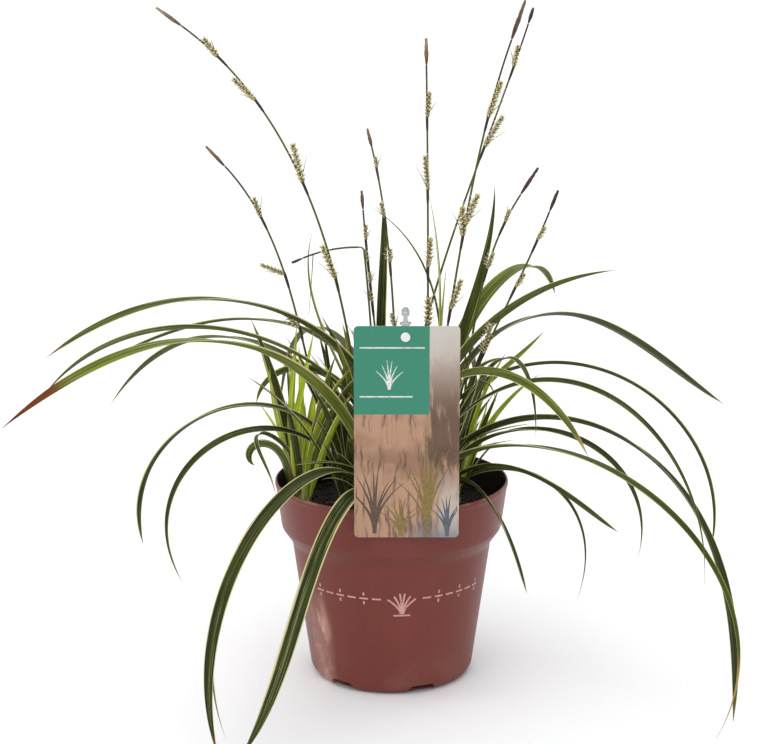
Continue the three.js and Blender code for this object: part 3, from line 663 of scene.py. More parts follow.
utricle_paint = Paint("utricle_cream", Roughness=0.55, Specular_IOR_Level=0.25)
pod = utricle_paint.mark("along")
pod_tint = utricle_paint.mark("leaf")
veins = (utricle_paint.mark("across") * 9).sine()
tone = utricle_paint.layers(
    (0.56, 0.49, 0.16),
    ((0.78, 0.66, 0.36), pod_tint),
    ((0.86, 0.82, 0.66), pod.rise(0.55, 1.0)),
    # Darker foot of each fruit: partly its own green base, partly painted shade between the crowded fruits.
    ((0.12, 0.10, 0.025), (0.55 - pod) * (veins * 0.3 + 1.2)),
)
utricle_paint.finish(Base_Color=tone, Normal=utricle_paint.bump(veins, 0.4, 0.0002))

scale_paint = Paint("scale_brown", Roughness=0.6, Specular_IOR_Level=0.2)
tip = scale_paint.mark("along")
grain = scale_paint.noise(900.0, 3.0, 0.6)
rim = abs(scale_paint.mark("across")).rise(0.55, 0.95)
pale = (rim * 0.35).larger(tip.rise(0.8, 1.0) * 0.5) * (scale_paint.mark("fresh") + 0.12)
tone = scale_paint.layers(
    (0.038, 0.018, 0.016),
    ((0.50, 0.31, 0.19), scale_paint.mark("fresh")),
    ((0.030, 0.014, 0.012), grain.rise(0.45, 0.75) * 0.6),
    ((0.62, 0.50, 0.32), pale),
)
scale_paint.finish(Base_Color=tone, Normal=scale_paint.bump(grain, 0.3, 0.0002))

stigma_paint = Paint("stigma_white", Roughness=0.7)
hair = stigma_paint.mark("along")
stigma_paint.finish(Base_Color=stigma_paint.blend((0.75, 0.70, 0.50), (0.90, 0.88, 0.80), hair))
CULM_PAINTS = [paint.material for paint in (culm_paint, utricle_paint, scale_paint, stigma_paint)]
STEM, UTRICLE, SCALE, STIGMA = range(4)

# %% [markdown]
# ## Pods and hairs
#
# The small parts are all tubes about a short line. `tube` draws rings round a line of
# places; a pod is a tube that swells and closes, and a hair is one that is very thin.

# %% Tubes, pods and hairs
def tube(places, side, up, wide, thick, sides):
    angle = circle(sides)
    wide, thick = np.broadcast_to(wide, len(places)), np.broadcast_to(thick, len(places))
    side, up = np.broadcast_to(side, places.shape), np.broadcast_to(up, places.shape)
    return ringed(places, side, up, wide[:, None] * np.cos(angle), thick[:, None] * np.sin(angle))


def squared(vector, axis):
    """The part of a vector that is square to an axis, one long."""
    flat = vector - axis * np.dot(vector, axis)
    return flat / np.linalg.norm(flat)


POD_SHARES = np.array([0.0, 0.12, 0.32, 0.55, 0.74, 0.88, 1.0])
POD_SWELL = np.array([0.35, 0.75, 1.0, 0.92, 0.55, 0.22, 0.1])
SCALE_SWELL = np.array([0.5, 0.85, 1.0, 0.9, 0.62, 0.32, 0.06])
HAIR_SHARES = np.linspace(0, 1, 5)
POD_SIDES, HAIR_SIDES = 6, 3


def add_pod(skin, foot, direction, out, length, wide, thick, slot, swell=POD_SWELL, **marks):
    """A pod from its foot along a direction; `out` is the way its back faces."""
    out = squared(out, direction)
    side = np.cross(out, direction)
    places = foot + direction * (length * POD_SHARES)[:, None]
    rings = tube(places, side, -out, wide / 2 * swell, thick / 2 * swell, POD_SIDES)
    skin.strip(rings, slot, along=POD_SHARES[:, None], across=np.cos(circle(POD_SIDES)), **marks)


def add_hair(skin, foot, direction, sag, length, thickness, slot):
    side = squared(np.array([0.3, 0.2, 1.0]), direction)
    places = foot + direction * (length * HAIR_SHARES)[:, None] + sag * (length * HAIR_SHARES**2)[:, None]
    wide = thickness / 2 * (1 - 0.6 * HAIR_SHARES)
    rings = tube(places, side, np.cross(direction, side), wide, wide, HAIR_SIDES)
    skin.strip(rings, slot, along=HAIR_SHARES[:, None])


# %% [markdown]
# ## Spikes
#
# Fruits stand round a female spike in threes, each three turned against the last, with a
# pointed scale under every fruit and four curling stigmas at its beak. A male spike
# is the same idea with nothing but narrow scales that lie close and overlap.

# %% Female and male spikes
PODS_ROUND, STIGMAS, SCALES_ROUND = 3, 4, 5


def spindle(share):
    """How plump a spike is at a share of its length."""
    return np.sin(np.pi * (0.12 + 0.8 * share)) ** 0.7


def slender(share):
    """The same for a male spike, which runs to a point at both ends."""
    return np.minimum(0.45 + share * 2.2, 1) * (1 - share) ** 0.55


def square_pair(axis):
    """Two directions square to an axis and to each other."""
    across = squared(np.array([0.9, 0.1, 0.3]), axis)
    return across, np.cross(axis, across)


def add_female(skin, foot, axis, length, thickness, draw):
    across, upward = square_pair(axis)
    core = np.linspace(0, 0.97, 8)
    rachis = tube(foot + axis * (core * length)[:, None], across, upward, 0.35, 0.35, 6)
    skin.strip(rachis, STEM, along=0.5, dark=0.0, leaf=next(draw))
    pod_length = 1.4 + 0.34 * thickness
    whorls = round(length / (0.8 + 0.13 * thickness))
    for ring in range(whorls):
        share = (ring + 0.4) / whorls
        radius = thickness * 0.6 * spindle(share)
        for k in range(PODS_ROUND):
            turn = np.radians(120 * k + 60 * ring + 24 * next(draw))
            out = across * np.cos(turn) + upward * np.sin(turn)
            reach = np.clip(radius / (pod_length * (0.92 + 0.16 * next(draw))), 0.2, 0.92)
            direction = axis * math.sqrt(1 - reach**2) + out * reach
            start = foot + axis * (share * length - 0.35 * pod_length) + out * 0.2
            wide = 0.42 * pod_length
            add_pod(skin, start, direction, out, pod_length, wide, wide, UTRICLE, leaf=next(draw))
            under = start - axis * 0.25
            add_pod(skin, under, squared(direction + out * 0.25, squared(np.cross(out, axis), axis)), out,
                    pod_length * 0.72, wide * 1.05, wide * 0.5, SCALE, SCALE_SWELL, fresh=0.3 * next(draw))
            beak = start + direction * pod_length * 0.97
            for _ in range(STIGMAS):
                way = across * (next(draw) - 0.5) + upward * (next(draw) - 0.5) + out * 0.7 + axis * 0.25
                way = way / np.linalg.norm(way)
                sag = axis * (0.5 - next(draw)) * 0.6
                add_hair(skin, beak, way, sag, 1.5 + 1.8 * next(draw), 0.2, STIGMA)


def add_male(skin, foot, axis, length, thickness, light, draw):
    across, upward = square_pair(axis)
    shares = np.linspace(0, 0.985, 12)
    swell = thickness * 0.34 * slender(shares)
    skin.strip(tube(foot + axis * (shares * length)[:, None], across, upward, swell, swell, 10), 0,
               along=0.3, fresh=light * 0.7)
    whorls = round(length / 1.25)
    for ring in range(whorls):
        share = (ring + 0.2) / whorls * 0.94
        radius = thickness / 2 * slender(share)
        for k in range(SCALES_ROUND):
            turn = np.radians(72 * k + 36 * ring + 16 * next(draw))
            out = across * np.cos(turn) + upward * np.sin(turn)
            start = foot + axis * (share * length) + out * radius * 0.62
            direction = squared(axis + out * (0.04 + 0.1 * next(draw)), squared(np.cross(out, axis), axis))
            long = min(4.4, length * (1 - share) + 0.3)
            add_pod(skin, start, direction, out, long, max(radius, 0.45) * 0.95, 0.45, 0, SCALE_SWELL,
                    fresh=light * 1.5 * share + 0.3 * next(draw) * (light + 0.2))


# %% [markdown]
# ## Whole culms
#
# The stem is a long tube whose rings have three soft corners. Just below each female spike a
# dark bract sheath grips the stem for about a centimetre and runs out into a bristle. From
# the snapped culm hangs one long withered bract.

# %% Stems, sheaths and bracts
STEM_SIDES = 12
BRACT_GRIP = 11  # length of the dark sheath
SLEEVE_SWELL = np.array([0.95, 1.2, 1.32, 1.38, 1.4, 1.42, 1.45, 1.3])
WITHERED_AT, WITHERED_LENGTH = 0.93, 45  # the withered bract: its share of the culm, its length


def add_stem(skin, s, places, alongs, acrosses, radius, **marks):
    angle = circle(STEM_SIDES)
    corners = 0.83 + 0.17 * np.cos(3 * angle)
    ups = np.cross(alongs, acrosses)
    wide, thick = radius[:, None] * corners * np.cos(angle), radius[:, None] * corners * np.sin(angle)
    rings = ringed(places, acrosses, ups, wide, thick)
    skin.strip(rings, STEM, along=s[:, None], **marks)


def line_slice(line, low, high, count):
    """Part of a line between two shares of it."""
    s, *fields = line
    shares = np.linspace(low, high, count)
    parts = [np.stack([np.interp(shares, s, part) for part in field.T], 1) for field in fields]
    return shares, *parts


def culm_radius(s):
    return CULM_RADIUS + (CULM_TIP_RADIUS - CULM_RADIUS) * s


def add_culm(seed, name, foot, row, male, females, kink=(1, 0, 0)):
    skin, draw = Skin(), draws(seed)
    turn, sweep, whole, *leans = row
    base = np.array([*foot, SOIL_Z])
    line = grow(base, turn, sweep, whole, *leans, kink=kink)
    end = 1 - male[0] / whole
    s, places, alongs, acrosses = line_slice(line, 0, end, 70)
    places = np.vstack([base - [0, 0, CULM_DEPTH], places])
    alongs, acrosses = np.vstack([alongs[:1], alongs]), np.vstack([acrosses[:1], acrosses])
    s = np.concatenate([[0], s])
    add_stem(skin, s, places, alongs, acrosses, culm_radius(s), leaf=next(draw), dark=0.0)
    for below, length, thickness, way, tilt in females:
        at = 1 - below / whole
        _, spots, ways, _ = line_slice(line, at, at, 1)
        spot, along = spots[0], ways[0]
        out = squared(compass(way), along)
        axis = along * math.cos(math.radians(tilt)) + out * math.sin(math.radians(tilt))
        add_female(skin, spot, axis, length, thickness, draw)
        low = max(at - BRACT_GRIP / whole, 0.02)
        shares, *sleeve = line_slice(line, low, at + 0.004, len(SLEEVE_SWELL))
        add_stem(skin, shares, *sleeve, SLEEVE_SWELL * culm_radius(at), leaf=next(draw), dark=0.85)
        reach = 0.5 * length + 8 * next(draw)
        bract = axis * 0.93 + out * 0.36
        add_hair(skin, spot, bract / np.linalg.norm(bract), out * 0.1, reach, 0.8, STEM)
    if kink[0] < 1:
        _, spots, _, _ = line_slice(line, WITHERED_AT, WITHERED_AT, 1)
        down, sag = np.array([-0.06, 0, -0.998]), np.array([-0.02, 0, 0])
        add_hair(skin, spots[0], down, sag, WITHERED_LENGTH, 0.9, STEM)
    culm = skin.piece(f"{name}_dressed", CULM_PAINTS)
    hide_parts(name)

    tip = Skin()
    _, spots, ways, _ = line_slice(line, end, end, 1)
    add_male(tip, spots[0] + ways[0] * 0.3, ways[0], male[0] - 0.3, male[1], male[2], draw)
    spike = tip.piece(f"{name}_male_scales", [scale_paint.material])
    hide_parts(f"{name}_male_spike")
    return len(culm.data.polygons), len(spike.data.polygons)


for seed, (name, parts) in enumerate(CULMS.items()):
    print(name, "faces:", *add_culm(501 + 13 * seed, name, *parts))

# %% [markdown]
# ## The pot
#
# A nursery pot is moulded in thin plastic, so its wall is about the same thickness
# everywhere: a tapered body, a chamfered step, a collar that flares to a rounded lip, and a
# soft bottom corner with notches that let water out. We turn its outline about the axis
# with many sides so that its rim stays smooth close up, then cut the notches and the drain
# holes with a boolean, which leaves true openings through the wall.

# %% Turning an outline
RIM_RADIUS, POT_HEIGHT, BASE_RADIUS, CORNER, WALL, FLOOR = 85, 146, 60, 9, 1.5, 2
COLLAR_FOOT_RADIUS, COLLAR_FOOT_Z, STEP_RADIUS, STEP_Z, LIP = 80.5, 112.5, 73, 102.5, 1.2
POT_SIDES = 144


def turned(outline, sides):
    """Rings about the upright axis from pairs of radius and height."""
    angle = circle(sides)
    return np.array([np.stack([r * np.cos(angle), r * np.sin(angle), 0 * angle + z], 1) for r, z in outline])


def corner(radius, size, bottom, steps):
    angles = np.linspace(0, np.pi / 2, steps + 1)
    return [(radius - size + size * math.sin(a), bottom + size - size * math.cos(a)) for a in angles]


def rounded(points, size, steps=4):
    """An outline whose inner points are eased with small curves."""
    points = np.array(points, float)
    eased = [points[0]]
    for before, here, after in zip(points, points[1:], points[2:]):
        back, ahead = before - here, after - here
        reach = min(size, np.linalg.norm(back) * 0.45, np.linalg.norm(ahead) * 0.45)
        start = here + back / np.linalg.norm(back) * reach
        stop = here + ahead / np.linalg.norm(ahead) * reach
        for t in np.linspace(0, 1, steps + 1):
            eased.append(start * (1 - t) ** 2 + here * 2 * t * (1 - t) + stop * t * t)
    return [*eased, points[-1]]


def cut_out(thing, cutter):
    """Cuts one object's form out of another and removes the cutter."""
    cut = thing.modifiers.new("openings", "BOOLEAN")
    cut.operation, cut.solver, cut.object = "DIFFERENCE", "EXACT", cutter
    shaped = bpy.data.meshes.new_from_object(thing.evaluated_get(bpy.context.evaluated_depsgraph_get()))
    thing.modifiers.clear()
    thing.data = shaped
    shaped.set_sharp_from_angle(angle=math.radians(32))
    bpy.data.objects.remove(cutter)


def wall_radius(z):
    """Radius of the pot's outer wall at a height."""
    heights = [CORNER, STEP_Z, COLLAR_FOOT_Z, POT_HEIGHT]
    return float(np.interp(z, heights, [BASE_RADIUS, STEP_RADIUS, COLLAR_FOOT_RADIUS, RIM_RADIUS]))


outside = corner(BASE_RADIUS, CORNER, 0, 8) + rounded([
    (BASE_RADIUS + 0.6, CORNER + 4), (STEP_RADIUS - 0.4, STEP_Z - 3), (STEP_RADIUS + 0.5, STEP_Z - 0.6),
    (COLLAR_FOOT_RADIUS - 0.4, COLLAR_FOOT_Z - 1), (COLLAR_FOOT_RADIUS + 0.1, COLLAR_FOOT_Z + 1.2),
    (RIM_RADIUS - 0.7, POT_HEIGHT - 4.5), (RIM_RADIUS, POT_HEIGHT - 3), (RIM_RADIUS, POT_HEIGHT - LIP),
    (RIM_RADIUS - 0.4, POT_HEIGHT), (RIM_RADIUS - WALL, POT_HEIGHT)], 1.6)
inside = rounded([
    (RIM_RADIUS - WALL, POT_HEIGHT), (RIM_RADIUS - WALL - 0.3, POT_HEIGHT - 3),
    (COLLAR_FOOT_RADIUS - WALL, COLLAR_FOOT_Z + 1), (STEP_RADIUS - WALL, STEP_Z - 1),
    (BASE_RADIUS - WALL, CORNER)], 1.2)[1:]
bottom = corner(BASE_RADIUS - WALL, CORNER - WALL, FLOOR, 6)[::-1][1:]
outline = [(24, 0), *outside, *inside, *bottom, (24, FLOOR)]
pot_skin = Skin()
pot_skin.strip(turned(outline, POT_SIDES))
print("pot outline points:", len(outline))

# %% Cutting the notches and the drain holes
NOTCH_COUNT, NOTCH_START, NOTCH_WIDTH, NOTCH_HEIGHT = 6, 232, 22, 6.5
DRAIN_COUNT, DRAIN_RADIUS, DRAIN_RING = 5, 4.5, 30
cutters = Skin()
for i in range(NOTCH_COUNT):
    way = compass(NOTCH_START + 360 / NOTCH_COUNT * i)
    level = np.array([-way[1], way[0], 0])
    arch = np.linspace(0, np.pi, 13)
    shape = np.stack([np.cos(arch) * NOTCH_WIDTH / 2, np.minimum(np.sin(arch) * 1.35, 1) * NOTCH_HEIGHT], 1)
    shape = np.vstack([[NOTCH_WIDTH / 2, -2], shape, [-NOTCH_WIDTH / 2, -2]])
    face = level * shape[:, :1] + np.array([0, 0, 1]) * shape[:, 1:]
    cutters.strip(np.array([face + way * (BASE_RADIUS - CORNER), face + way * (BASE_RADIUS + CORNER)]))
for i in range(DRAIN_COUNT):
    middle = compass(360 / DRAIN_COUNT * i) * DRAIN_RING
    cutters.strip(turned([(DRAIN_RADIUS, -3), (DRAIN_RADIUS, 6)], 32) + middle)

pot_paint = Paint("terracotta_plastic", Specular_IOR_Level=0.2)
pot = pot_skin.piece("pot_moulded", [pot_paint.material])
cut_out(pot, cutters.piece("pot_cutter", [pot_paint.material]))
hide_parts("pot")
print("pot faces:", len(pot.data.polygons))

# %% [markdown]
# ## Terracotta plastic
#
# The plastic is a satin brick red. Recycled plastic is never one even colour: faint clouds
# and darker specks run through it, it is paler in streaks round the top of the lip, and
# splashes of compost leave a dusty bloom near the foot. The band under the step is a little
# darker, a painted shade, and a pale painted highlight lies low on the left front of the wall.
# The inside of the wall above the soil is painted near black, partly compost stain and partly
# painted shade. The heights in this paint are in metres.

# %% Pot paint
x, y, z = pot_paint.parts(pot_paint.place())
clouds = pot_paint.noise(14.0, 4.0, 0.6)
specks = pot_paint.noise(420.0, 2.0, 0.5)
flow = pot_paint.drawn(x * 60, y * 60, z * 7, 4.0, 0.6)
# Paler streaks round the top of the lip.
pale_lip_streaks = z.rise(0.1437, 0.1456) * flow.rise(0.35, 0.7)
# Painted shade: the band under the step is darkened a little.
painted_step_shade = z.rise(0.101, 0.1035) * (1 - z.rise(0.110, 0.1125))
dust = (1 - z.rise(0.004, 0.045)) * clouds.rise(0.46, 0.76)
reach = (x * x + y * y).root()
# A pale painted highlight low on the left front of the wall, broken into patches.
side = 1 - abs(x / reach + 0.8).rise(0.02, 0.17)
scuff_and_highlight_noise = pot_paint.noise(46.0, 4.0, 0.65, pot_paint.join(x, y, z * 0.6))
painted_highlight = side * (1 - y.rise(-0.02, 0.0)) * (1 - z.rise(0.035, 0.085))
painted_highlight = painted_highlight * (scuff_and_highlight_noise.rise(0.40, 0.66) * 0.75 + 0.25)
outer_wall = (z - 0.1125) * 0.1343 + 0.0805  # radius of the collar at a height
# The inside of the wall above the soil is painted near black: partly compost stain, partly painted shade.
stain_and_painted_shade = (outer_wall - reach).rise(0.0006, 0.0012) * z.rise(0.118, 0.122)
stain_and_painted_shade = stain_and_painted_shade * (1 - z.rise(0.1415, 0.1455) * 0.45)
plastic = pot_paint.layers(
    pot_paint.blend((0.150, 0.033, 0.025), (0.200, 0.049, 0.038), clouds * 0.6 + flow * 0.5),
    ((0.10, 0.024, 0.020), specks.rise(0.66, 0.76) * 0.5),
    ((0.42, 0.22, 0.18), pale_lip_streaks * 0.5),
    # Painted shade under the step.
    ((0.09, 0.022, 0.018), painted_step_shade * 0.2),
    ((0.30, 0.15, 0.12), dust * 0.35),
    # Painted highlight low on the left front of the wall.
    ((0.74, 0.46, 0.35), painted_highlight * 0.9),
    # Compost stain and painted shade inside the wall.
    ((0.014, 0.008, 0.007), stain_and_painted_shade),
)
pot_paint.finish(
    Base_Color=plastic,
    Roughness=clouds * 0.22 + dust * 0.25 + 0.27,
    Normal=pot_paint.bump(flow + specks * 0.3, 0.12, 0.0006),
)

# %% [markdown]
# ## The printed band
#
# A pale pink print runs round the front of the pot. Print stands on the plastic by the
# thickness of its ink, so it is drawn as flat strokes laid on the wall, with each point
# carried to the wall's radius at its height. The motif is a plain tuft between rows of
# dashes, a pattern that any nursery might use.

# %% Strokes on the wall
INK = 0.12  # thickness of a stroke of ink
SQUARE = math.sqrt(0.5)
print_skin = Skin()


def ink_stroke(skin, spots, out, width, slot=0):
    """A flat line of ink along places, on a surface that faces out."""
    ahead = np.gradient(spots, axis=0)
    ahead /= np.linalg.norm(ahead, axis=1)[:, None]
    across = np.cross(out, ahead)
    skin.strip(tube(spots, across, out, width * SQUARE, INK * SQUARE, 4)[:, ::-1], slot)


def stroke(path, width):
    """An ink line on the wall, along points of compass turn and height."""
    spots = np.array([compass(turn) * (wall_radius(z) + INK / 2) + [0, 0, z] for turn, z in path])
    ink_stroke(print_skin, spots, np.array([compass(turn) for turn, _ in path]), width)


def arc(start, stop, height, count):
    return [(turn, height) for turn in np.linspace(start, stop, count)]


BAND_Z, BAND_TURN = 76.5, -84  # height of the print's middle and the compass turn it faces
for side in (-1, 1):
    for k in range(6):
        middle = BAND_TURN + side * (15 + 7.6 * k)
        stroke(arc(middle - 2.6, middle + 2.6, BAND_Z, 5), 1.0)
        for way in (1, -1) if k % 2 else ():
            stroke([(middle, BAND_Z + way * 2.2), (middle, BAND_Z + way * 4.6)], 1.0)
for lean in (-7.5, -4.2, -1.2, 1.4, 4.4, 7.2):
    rise = 17 - abs(lean) * 0.75
    stroke([(BAND_TURN + lean * t**1.8 + lean * 0.12, BAND_Z - 11.5 + rise * t)
            for t in np.linspace(0, 1, 9)], 0.9)
stroke(arc(BAND_TURN - 5, BAND_TURN + 5, BAND_Z - 12.5, 5), 1.0)
ink_paint = Paint("pink_ink", Roughness=0.5)
worn = ink_paint.noise(260.0, 3.0, 0.6)
ink_paint.finish(Base_Color=ink_paint.blend((0.60, 0.32, 0.28), (0.34, 0.13, 0.11), worn.rise(0.5, 0.75)))
band = print_skin.piece("pot_printed_band", [ink_paint.material])
print("ink strokes:", print_skin.strips)

# %% [markdown]
# ## Compost
#
# Potting compost is crumbly: a rolling dark surface of peat and fine bark, with larger
# crumbs lying on it and the odd pale fleck. The bed is a disc whose points are lifted by
# rough noise, closed down to the floor of the pot, and the crumbs are small uneven pods
# strewn over it from a seed.

# %% The bed of compost
GAP = 0.3  # clearance between pieces that touch
SOIL_SINK = 2.2
SOIL_INSET = WALL + GAP
SOIL_EDGE = COLLAR_FOOT_RADIUS - SOIL_INSET + (SOIL_Z - COLLAR_FOOT_Z) / (POT_HEIGHT - COLLAR_FOOT_Z) * (
    RIM_RADIUS - COLLAR_FOOT_RADIUS)
CRUMBS, PALE_CRUMBS = 900, 0.025  # how many lie on the bed, and the share of them that is pale
CRUMB_SWELL = np.array([0.4, 0.9, 0.8, 1.0, 0.75, 0.6, 0.25])


def soil_height(x, y):
    swell = np.sin(x / 11 + 1) * np.cos(y / 13) + 0.5 * np.sin(x / 5 + y / 7)
    rough = np.sin(x * 1.9 + 3 * np.sin(y * 0.7)) * np.sin(y * 2.1 + 2 * np.sin(x * 0.9))
    fine = np.sin(x * 4.3 + 2 * np.sin(y * 3.1)) * np.sin(y * 3.7 + x)
    return SOIL_Z - SOIL_SINK * (0.5 + swell / 3) + 0.55 * rough + 0.3 * fine


soil_paint = Paint("compost", Specular_IOR_Level=0.2)
crumb_noise = soil_paint.noise(380.0, 6.0, 0.7)
fleck_noise = soil_paint.noise(150.0, 2.0, 0.5)
earth = soil_paint.layers(
    (0.006, 0.004, 0.0035),
    ((0.030, 0.019, 0.014), crumb_noise.rise(0.38, 0.72)),
    ((0.15, 0.10, 0.065), soil_paint.mark("fresh")),
    ((0.09, 0.06, 0.04), fleck_noise.rise(0.68, 0.74) * 0.6),
)
soil_paint.finish(Base_Color=earth, Roughness=crumb_noise * 0.25 + 0.72,
                  Normal=soil_paint.bump(crumb_noise, 0.9, 0.0012))

bed = Skin()
SOIL_SIDES = 180
top = turned([(SOIL_EDGE * r, 0) for r in np.linspace(1, 0.004, 90)], SOIL_SIDES)
top[..., 2] = soil_height(top[..., 0], top[..., 1])
wall = turned([
    (20, 2.4), (BASE_RADIUS - WALL - 3, 3.4), (BASE_RADIUS - SOIL_INSET, CORNER),
    (STEP_RADIUS - SOIL_INSET, STEP_Z), (COLLAR_FOOT_RADIUS - SOIL_INSET, COLLAR_FOOT_Z)], SOIL_SIDES)
bed.strip(np.vstack([wall, top]))
draw = draws(77)
for _ in range(CRUMBS):
    turn, reach = 360 * next(draw), (SOIL_EDGE - 2) * math.sqrt(next(draw))
    spot = compass(turn) * reach
    spot[2] = soil_height(spot[0], spot[1]) + 0.3
    size = 0.8 + 2.6 * next(draw) ** 3
    direction = np.array([next(draw) - 0.5, next(draw) - 0.5, 0.35 * (next(draw) - 0.3)])
    direction /= np.linalg.norm(direction)
    pale = 1.0 if next(draw) > 1 - PALE_CRUMBS else 0.15 * next(draw)
    add_pod(bed, spot - direction * size, direction, np.array([0, 0, 1.0]), 2 * size,
            size * (0.9 + next(draw)), size, 0, CRUMB_SWELL, fresh=pale)
soil = bed.piece("soil_bed", [soil_paint.material])
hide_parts("soil")
print("soil faces:", len(soil.data.polygons))

# %% [markdown]
# ## The plant label
#
# The label is a stiff printed card that a white stud snaps to a clear stake. Its printed
# face is a plain design of our own: a green panel, and under it a soft, blurred meadow in
# browns and greys with a few grass tufts. Colours that change over the card come from its
# paint; the tufts are inked on as flat strokes, as on the pot.

# %% The card
CARD_WIDTH, CARD_HEIGHT, CARD_THICKNESS, CARD_CORNER = 72, 149, 0.8, 3
CARD_X, CARD_FOOT_Z, CARD_BACK_Y = 10, 128, -85.8
CARD_FRONT_Y = CARD_BACK_Y - CARD_THICKNESS
STUD_RADIUS, STUD_SHANK, STUD_Z, STAKE_X = 3.3, 1.5, 269.5, 9


def card_ring(inset, y, steps=10):
    """The card's rounded outline at a depth, pulled in by an inset."""
    spots = []
    for x_sign, z_sign, first in ((1, -1, -90), (1, 1, 0), (-1, 1, 90), (-1, -1, 180)):
        middle = np.array([CARD_X + x_sign * (CARD_WIDTH / 2 - CARD_CORNER), y,
                           CARD_FOOT_Z + CARD_HEIGHT / 2 + z_sign * (CARD_HEIGHT / 2 - CARD_CORNER)])
        for step in range(steps + 1):
            turn = math.radians(first + 90 * step / steps)
            spots.append(middle + (CARD_CORNER - inset) * np.array([math.cos(turn), 0, math.sin(turn)]))
    return spots[::-1]


def facing_front(outline, sides):
    """Rings about the stud's axis from pairs of radius and y."""
    x, y, z = np.moveaxis(turned(outline, sides), -1, 0)
    return np.stack([STAKE_X + x, z, STUD_Z - y], -1)


card_skin, shank_hole = Skin(), Skin()
card_skin.strip(np.array([card_ring(0.15, CARD_FRONT_Y), card_ring(0, CARD_FRONT_Y + 0.15),
                          card_ring(0, CARD_BACK_Y - 0.15), card_ring(0.15, CARD_BACK_Y)]))
hole_radius = STUD_SHANK + GAP
shank_hole.strip(facing_front([(hole_radius, CARD_FRONT_Y - 1), (hole_radius, CARD_BACK_Y + 1)], 32))

card_paint = Paint("printed_card", Roughness=0.35, Specular_IOR_Level=0.25)
x, y, z = (axis * 1000 for axis in card_paint.parts(card_paint.place()))
drift = card_paint.noise(28.0, 3.0, 0.6)
reeds = card_paint.drawn(x * 0.3 + drift * 3.5, 0.0, z * 0.04, 4.0, 0.6)
PALE, TAN = (0.56, 0.52, 0.47), (0.45, 0.265, 0.17)
BROWN, SLATE = (0.070, 0.042, 0.033), (0.17, 0.18, 0.21)
crowd = (205 - z) * 0.0008 + x.rise(16, 34) * z.rise(168, 192) * 0.26
thicket = (reeds + crowd).rise(0.52, 0.70) * (1 - z.rise(212, 270))
mist = x.rise(26, 38) * (1 - (z + drift * 20).rise(162, 190))
water = x.rise(4, 24) * (1 - (z + drift * 22).rise(136, 158))
PANEL_RIGHT, PANEL_FOOT = 25.2, 215.4
panel = (1 - x.rise(PANEL_RIGHT, PANEL_RIGHT + 0.3)) * z.rise(PANEL_FOOT, PANEL_FOOT + 0.3)
fibre = card_paint.noise(900.0, 2.0, 0.5)
printed = card_paint.layers(
    (0.30, 0.165, 0.10),
    (TAN, drift.rise(0.32, 0.52)),
    (PALE, (z + drift * 40).rise(232, 292)),
    (BROWN, thicket * 0.8),
    (PALE, mist * 0.6),
    (SLATE, water * 0.8),
    ((0.042, 0.235, 0.152), panel),
)
plain = card_paint.blend((0.74, 0.73, 0.69), (0.66, 0.64, 0.58), fibre)
face = card_paint.blend(plain, printed, 1 - y.rise(CARD_FRONT_Y + 0.2, CARD_FRONT_Y + 0.3))
card_paint.finish(Base_Color=face, Normal=card_paint.bump(fibre, 0.05, 0.0002))

card = card_skin.piece("label_printed_card", [card_paint.material])
cut_out(card, shank_hole.piece("shank_hole", [card_paint.material]))
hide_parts("label_card")
print("card faces:", len(card.data.polygons))

# %% Tufts inked on the card
TUFTS = [  # x and z of the foot, height, how far the blades spread, number of blades, colour
    (-12, 131, 62, 26, 9, 0), (24, 130, 88, 24, 11, 1), (38, 129, 40, 14, 7, 2), (6, 129, 34, 20, 7, 1)]
FACING = np.array([0, -1.0, 0])  # the way the card's print faces
INK_Y = CARD_FRONT_Y - INK / 3
WHITE_INK = 3  # place of the white ink among the inks below
card_ink = Skin()


def card_stroke(x, z, width, tint):
    """An ink line on the card, through places x and heights z."""
    ink_stroke(card_ink, np.stack([x, 0 * z + INK_Y, z], 1), FACING, width, tint)


draw = draws(61)
low_x, high_x = CARD_X - CARD_WIDTH / 2 + 1.5, CARD_X + CARD_WIDTH / 2 - 1.5
for foot_x, foot_z, height, spread, count, tint in TUFTS:
    for k in range(count):
        lean = (2 * (k + 0.5 * next(draw)) / count - 1) * spread
        rise = height * (1 - 0.3 * abs(lean) / spread - 0.25 * next(draw))
        t = np.linspace(0, 1, 12)
        blade_x = np.clip(foot_x + lean * t**1.9, low_x, high_x)
        card_stroke(blade_x, foot_z + rise * t - 0.1 * rise * t**3, 1.9 * (1 - 0.9 * t), tint)
for k, reach in enumerate((44, 36)):
    card_stroke(np.linspace(-22, -22 + reach, 6), np.full(6, 262.0 - 34 * k), 0.7, WHITE_INK)
for lean in (-9, -5, -1.5, 2, 5.5, 9.5):
    t = np.linspace(0, 1, 10)
    card_stroke(-2 + lean * t**1.7, 233 + (22 - abs(lean)) * t, 1.3 * (1 - 0.85 * t), WHITE_INK)
INKS = {"umber_ink": (0.10, 0.055, 0.03), "ochre_ink": (0.23, 0.15, 0.035),
        "slate_ink": (0.09, 0.11, 0.14), "white_ink": (0.72, 0.76, 0.70)}
card_inks = []
for name, tone in INKS.items():
    paint = Paint(name, Roughness=0.35)
    speckle = paint.noise(500.0, 2.0, 0.5)
    darker = tuple(0.7 * part for part in tone)
    card_inks.append(paint.finish(Base_Color=paint.blend(darker, tone, speckle.rise(0.35, 0.55))))
tufts = card_ink.piece("label_inked_tufts", card_inks)
print("strokes on the card:", card_ink.strips)

# %% [markdown]
# ## Stake and stud
#
# The stake is a clear polystyrene strip with softly rounded edges that ends in a bar and a
# little knob above the card. Clear plastic needs its own shader values: it lets more than
# half of the light through, is fairly smooth and refracts nearly as polystyrene does. Worn
# plastic isn't perfectly clear, so the rest of the light meets a pale grey. The stud is a
# white domed button.

